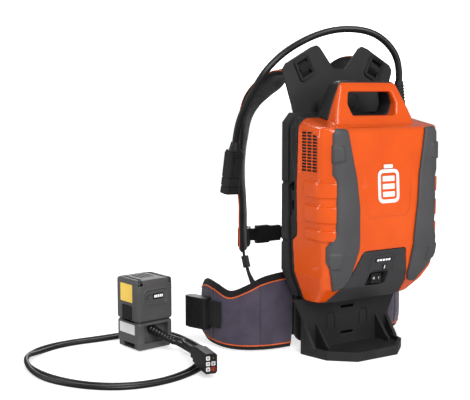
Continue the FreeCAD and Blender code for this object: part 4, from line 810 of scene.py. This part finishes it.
cushion("back_pad", [(0, 178), (70, 178), (90, 196), (92, 330), (78, 352), (0, 356)], 61, 77,
        [((0, 190), (0, 344)), ((44, 200), (50, 336)), ((0, 236), (82, 222)), ((0, 300), (82, 286))])
cushion("lumbar_pad", [(0, 14), (80, 14), (88, 24), (88, 132), (78, 148), (0, 152)], 57, 77,
        [((30, 26), (30, 140)), ((62, 30), (62, 136))])

# ---- small details


def prism_piece(name, outline, place, depth, look, body, bevel=0.25):
    """A thin raised mark: an outline in millimetres drawn on X and Z, standing out along -Y, then placed."""
    points = [Matrix.Scale(MM, 4) @ place @ Vector((u, y, v)) for y in (0, -depth) for u, v in outline]
    made = mesh_piece(name, points, ring_faces(2, len(outline)), [look], body, smooth=False)
    soft = made.modifiers.new("soft", "BEVEL")
    soft.width = bevel * MM
    soft.segments = 2
    soft.limit_method = "ANGLE"
    return made


def frame_piece(name, wide, high, band, radius, place, depth, look, body):
    """A flat rounded frame, raised along -Y."""
    u, v = wide / 2, high / 2
    outer = rounded(rect(-u, -v, u, v), radius, 6)
    inner = rounded(rect(band - u, band - v, u - band, v - band), max(radius - band, 1), 6)
    count = len(outer)
    flat = [(u, 0, v) for u, v in outer] + [(u, 0, v) for u, v in inner]
    points = flat + [(u, -depth, v) for u, _, v in flat]
    faces = []
    for i in range(count):
        j = (i + 1) % count
        faces.append((2 * count + i, 2 * count + j, 3 * count + j, 3 * count + i))
        faces.append((i, j, 2 * count + j, 2 * count + i))
        faces.append((count + j, count + i, 3 * count + i, 3 * count + j))
        faces.append((j, i, count + i, count + j))
    placed = [Matrix.Scale(MM, 4) @ place @ Vector(point) for point in points]
    return mesh_piece(name, placed, faces, [look], body, smooth=False)


def placed_at(x, y, z, tilt=0.0, turn=0.0):
    return Matrix.Translation((x, y, z)) @ Matrix.Rotation(turn, 4, "Z") @ Matrix.Rotation(tilt, 4, "X")


# the yoke's two ladder buckles: a rounded frame through the plate, a raised rim and a middle bar
for side, sign in SIDES:
    set_in = placed_at(77 * sign, 0, 494) @ Matrix.Rotation(yoke_turn * sign, 4, "Y")
    body_frame = frame_piece("ladder_frame_" + side, 34, 40, 6, 7, set_in @ placed_at(0, 60.4, 0), 7.4, black,
                             "yoke")
    frame_piece("ladder_rim_" + side, 33, 39, 3, 7, set_in @ placed_at(0, 53.2, 0), 1.5, black, "yoke")
    prism_piece("ladder_bar_" + side, rect(-11.2, -3.4, 11.2, 3.4),
                set_in @ placed_at(0, 57.5, 0), 4.6, black, "yoke", 0.8)
    if sign > 0:
        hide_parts("ladder_buckles")

# a plain battery pictogram on the front
lean = -math.atan(8 / 126)
emblem, emblem_rise = placed_at(0, -79.15, 298, lean), 0.55
frame_piece("emblem_frame", 46, 56, 6, 12, emblem, emblem_rise, white_print, "pack")
prism_piece("emblem_cap", rounded(rect(-10, 29.5, 10, 36), 2), emblem, emblem_rise, white_print, "pack")
for i in range(3):
    low = -18 + i * 13
    prism_piece("emblem_bar_%d" % i, rounded(rect(-13, low, 13, low + 9), 1.5), emblem,
                emblem_rise, white_print, "pack")

# lamps and marks on the control panel
panel_place = placed_at(0, -68, 173, tilt)
for i in range(5):
    x = -11 + i * 6
    prism_piece("lamp_%d" % i, rounded(rect(x - 2, -1.8, x + 2, 1.8), 0.6),
                panel_place @ placed_at(0, -1.6, 0), 0.35, lamp_white, "pack", 0.1)
prism_piece("button_mark", rounded(rect(-1, -3.2, 1, 3.2), 0.4),
            panel_place @ placed_at(6, -2.4, -13.5), 0.25, white_print, "lamp_button", 0.08)
frame_piece("panel_line", 52, 30, 0.7, 4, panel_place @ placed_at(0, -1.0, -7), 0.5, grey, "pack")
rocker_place = placed_at(0, -45.5, 139, math.radians(7))
frame_piece("switch_ring_mark", 4, 4, 0.7, 2, rocker_place @ placed_at(-5.4, -6.6, 0.5, 0.06), 0.35, white_print,
            "switch")
prism_piece("switch_bar_mark", rect(4.9, -1.6, 5.7, 2.6),
            rocker_place @ placed_at(0, -6.6, 0, 0.06), 0.35, white_print, "switch", 0.05)

# the adapter's two shells, in the adapter's own frame
adapter_place = placed_at(-301.9, 223.5, 0, 0, math.radians(8))
adapter_step = 0.8


def side_box(block, x, y, z, radius=0.0):
    """Distance to a box about x = 0 and y = 0, with rounded upright edges."""
    flat_x, flat_y = np.abs(block.x) - x + radius, np.abs(block.y) - y + radius
    flat = np.hypot(np.maximum(flat_x, 0), np.maximum(flat_y, 0)) + np.minimum(np.maximum(flat_x, flat_y), 0) - radius
    return meet(flat, np.maximum(z[0] - block.z, block.z - z[1]), min(radius, 5) if radius else 0.01)


def pocket(block, x, y, z):
    """A box-shaped pocket between low and high values, with slightly rounded edges."""
    field = np.maximum(x[0] - block.x, block.x - x[1])
    for low, high, at in ((*y, block.y), (*z, block.z)):
        field = meet(field, np.maximum(low - at, at - high), 1.0)
    return field


def adapter_shell(name, block, field, node):
    points, faces = block.meshed(field)
    turn = np.array(adapter_place)
    points = points @ turn[:3, :3].T + turn[:3, 3]
    field_piece(name, (points, faces), [adapter_grey], "adapter", node)


block = Block((-39, 39), (49, 130), adapter_step, 41, True)
display = block.front(rounded(both_sides([(20, 84), (24, 88), (24, 104), (20, 108)]), 4))
upper = side_box(block, 37.5, 35.5, (52.4, 127), 7.5)
display_rim = meet(np.abs(np.abs(display) - 1.2) - 1.2, np.abs(block.y + 35.5) - 0.9, 0.4)
upper = np.minimum(upper, display_rim + (display < 0) * 3)
cuts = meet(display, block.y + 34.3, 0.3)
cuts = np.minimum(cuts, pocket(block, (-5.2, 17.2), (-40, -30), (90.8, 101.2)))
cuts = np.minimum(cuts, np.maximum(np.hypot(block.x + 13, block.z - 96) - 4.8, block.y + 30))
for side in (-1, 1):
    cuts = np.minimum(cuts, pocket(block, sorted((side * 28, side * 50)), (-15, 15), (55, 79)))
    cuts = np.minimum(cuts, pocket(block, sorted((side * 26.5, side * 50)), (-50, -31.5), (117.5, 140)))
    cuts = np.minimum(cuts, pocket(block, (side * 26 - 2.5, side * 26 + 2.5), (-26, 26), (124, 140)))
    for y in (-29, 29):
        cuts = np.minimum(cuts, np.maximum(np.hypot(block.x - side * 31, block.y - y) - 3.6, 118 - block.z))
for i in range(4):
    cuts = np.minimum(cuts, pocket(block, (-13.5 + i * 8, -10.5 + i * 8), (-11, 23), (119, 140)))
cuts = np.minimum(cuts, side_box(block, 34.5, 32.5, (40, 121)))
adapter_shell("adapter_upper_case", block, np.maximum(upper, -cuts), "adapter_upper_shell")

block = Block((-39, 39), (-3, 55), adapter_step, 41, True)
lower = side_box(block, 36.5, 34.5, (0.3, 51.6), 6)
lower = lower + 1.8 * ramp((13.5 - block.z) / 1.2)
cuts = pocket(block, (-24, 27), (-50, -21.5), (14, 46))
cuts = np.minimum(cuts, side_box(block, 34.5, 17.5, (4, 60)))
adapter_shell("adapter_lower_case", block, np.maximum(lower, -cuts), "adapter_lower_shell")

# plain plates on the adapter
left_face = adapter_place @ placed_at(-37.4, 0, 0) @ Matrix.Rotation(math.radians(-90), 4, "Z")
prism_piece("adapter_label_high", rounded(rect(-20, 86, 17, 118), 1.5), left_face, 0.3, yellow_plate, "adapter",
            0.1)
prism_piece("adapter_label_low", rounded(rect(-25, 29, 22, 47), 1.5),
            left_face @ placed_at(0, 1, 0), 0.3, pale_plate, "adapter", 0.1)
for i in range(5):
    x = i * 3.8
    prism_piece("adapter_lamp_%d" % i, rounded(rect(-2.4 + x, 94, 0.2 + x, 98.6), 0.5),
                adapter_place @ placed_at(0, -34.2, 0), 0.15, lamp_white, "adapter", 0.05)


def turned(name, profile, start, way, look, body, around=36):
    """A round piece: its profile is pairs of run and radius along a direction."""
    turn = Vector((0, 0, 1)).rotation_difference(Vector(way).normalized()).to_matrix()
    angles = [2 * math.pi * j / around for j in range(around)]
    points = [(Vector(start) + turn @ Vector((radius * math.cos(angle), radius * math.sin(angle), run))) * MM
              for run, radius in profile for angle in angles]
    return mesh_piece(name, points, ring_faces(len(profile), around), [look], body)


# the ribbed relief of the adapter's lead
relief_end, relief_next = Vector(adapter_lead_route[0]), Vector(adapter_lead_route[1])
relief_way = (relief_next - relief_end).normalized()
relief_long = 58
relief_profile = [(-10, 6.9), (-0.5, 6.9)]
for i in range(9):
    low = i * 6.2
    radius = 8.4 - 2.6 * low / relief_long
    relief_profile += [(low, radius - 1.3), (low + 0.6, radius), (low + 3.4, radius - 0.1), (low + 4.0, radius - 1.3)]
relief_profile += [(relief_long - 1.5, 5.2), (relief_long, 4.4)]
relief = turned("adapter_relief_ribs", relief_profile, relief_end - relief_way * relief_long, relief_way, cord_skin,
                "adapter")
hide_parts("adapter_strain_relief")

# the plug's coloured contact carriers
plug_end, plug_before = Vector(adapter_lead_route[-1]), Vector(adapter_lead_route[-2])
plug_way = plug_end - plug_before
plug_turn = math.atan2(plug_way.y, plug_way.x) + math.pi / 2
plug_place = placed_at(*plug_end, 0, plug_turn)
for i in range(2):
    for j in range(3):
        look = red_plastic if (i, j) == (1, 0) else (black if (i, j) == (1, 2) else white_print)
        x, z = (i - 0.5) * 9, (j - 1) * 9
        piece = frame_piece("plug_carrier_%d_%d" % (i, j), 6.4, 6.4, 1.9, 1.2,
                            plug_place @ placed_at(x, -112.8, z), 3.4, look, "adapter")

# ---- floor and light

floor_mesh = bpy.data.meshes.new("floor")
reach = 30
floor_mesh.from_pydata([(u, v, 0) for u, v in rect(-reach, -reach, reach, reach)], [], [(0, 1, 2, 3)])
floor_look = material("floor", 0.9, 0.1, Emission_Color=WHITE, Emission_Strength=0.5)
coloured(floor_look, noisy(floor_look, 2, 2), (0.86, 0.86, 0.86), (0.88, 0.88, 0.88))
floor_mesh.materials.append(floor_look)
floor = linked("floor", floor_mesh)
floor.visible_glossy = False

world = bpy.data.worlds.new("studio")
world.use_nodes = True
background = world.node_tree.nodes["Background"]
background.inputs["Color"].default_value = WHITE
background.inputs["Strength"].default_value = 0.22
scene.world = world

# a white sweep far behind, which only the camera sees
bpy.ops.mesh.primitive_uv_sphere_add(segments=32, ring_count=16, radius=25)
sweep = bpy.context.object
sweep.name = "sweep"
sweep_look = material("sweep", 1.0, 0.0, Emission_Color=WHITE, Emission_Strength=1.1)
coloured(sweep_look, noisy(sweep_look, 0.1, 2), (0.86, 0.86, 0.86), (0.88, 0.88, 0.88))
sweep.data.materials.append(sweep_look)
for ray in ("diffuse", "glossy", "transmission", "shadow", "volume_scatter"):
    setattr(sweep, "visible_" + ray, False)

sun_data = bpy.data.lights.new("sun", "SUN")
sun_data.energy = 2.2
sun_data.angle = math.radians(40)
sun = linked("sun", sun_data)
sun.rotation_euler = Vector((0.22, 0.8, -0.62)).to_track_quat("-Z", "Y").to_euler()


def softbox(name, place, target, wide, high, power):
    data = bpy.data.lights.new(name, "AREA")
    data.shape = "RECTANGLE"
    data.size, data.size_y, data.energy = wide, high, power
    light = linked(name, data)
    light.location = place
    light.rotation_euler = (Vector(target) - Vector(place)).to_track_quat("-Z", "Y").to_euler()


softbox("key", (-1.6, -1.0, 2.0), (0, 0, 0.3), 0.9, 0.9, 5)
softbox("front", (0.9, -2.2, 1.1), (0, 0, 0.3), 0.6, 1.2, 8)
softbox("left_strip", (-2.2, 0.9, 0.9), (-0.1, 0, 0.3), 0.25, 1.6, 9)
softbox("top_strip", (0.2, 1.2, 1.9), (0, 0, 0.4), 1.8, 0.3, 10)
softbox("back", (1.0, 2.4, 1.2), (0, 0.1, 0.3), 1.2, 1.2, 14)
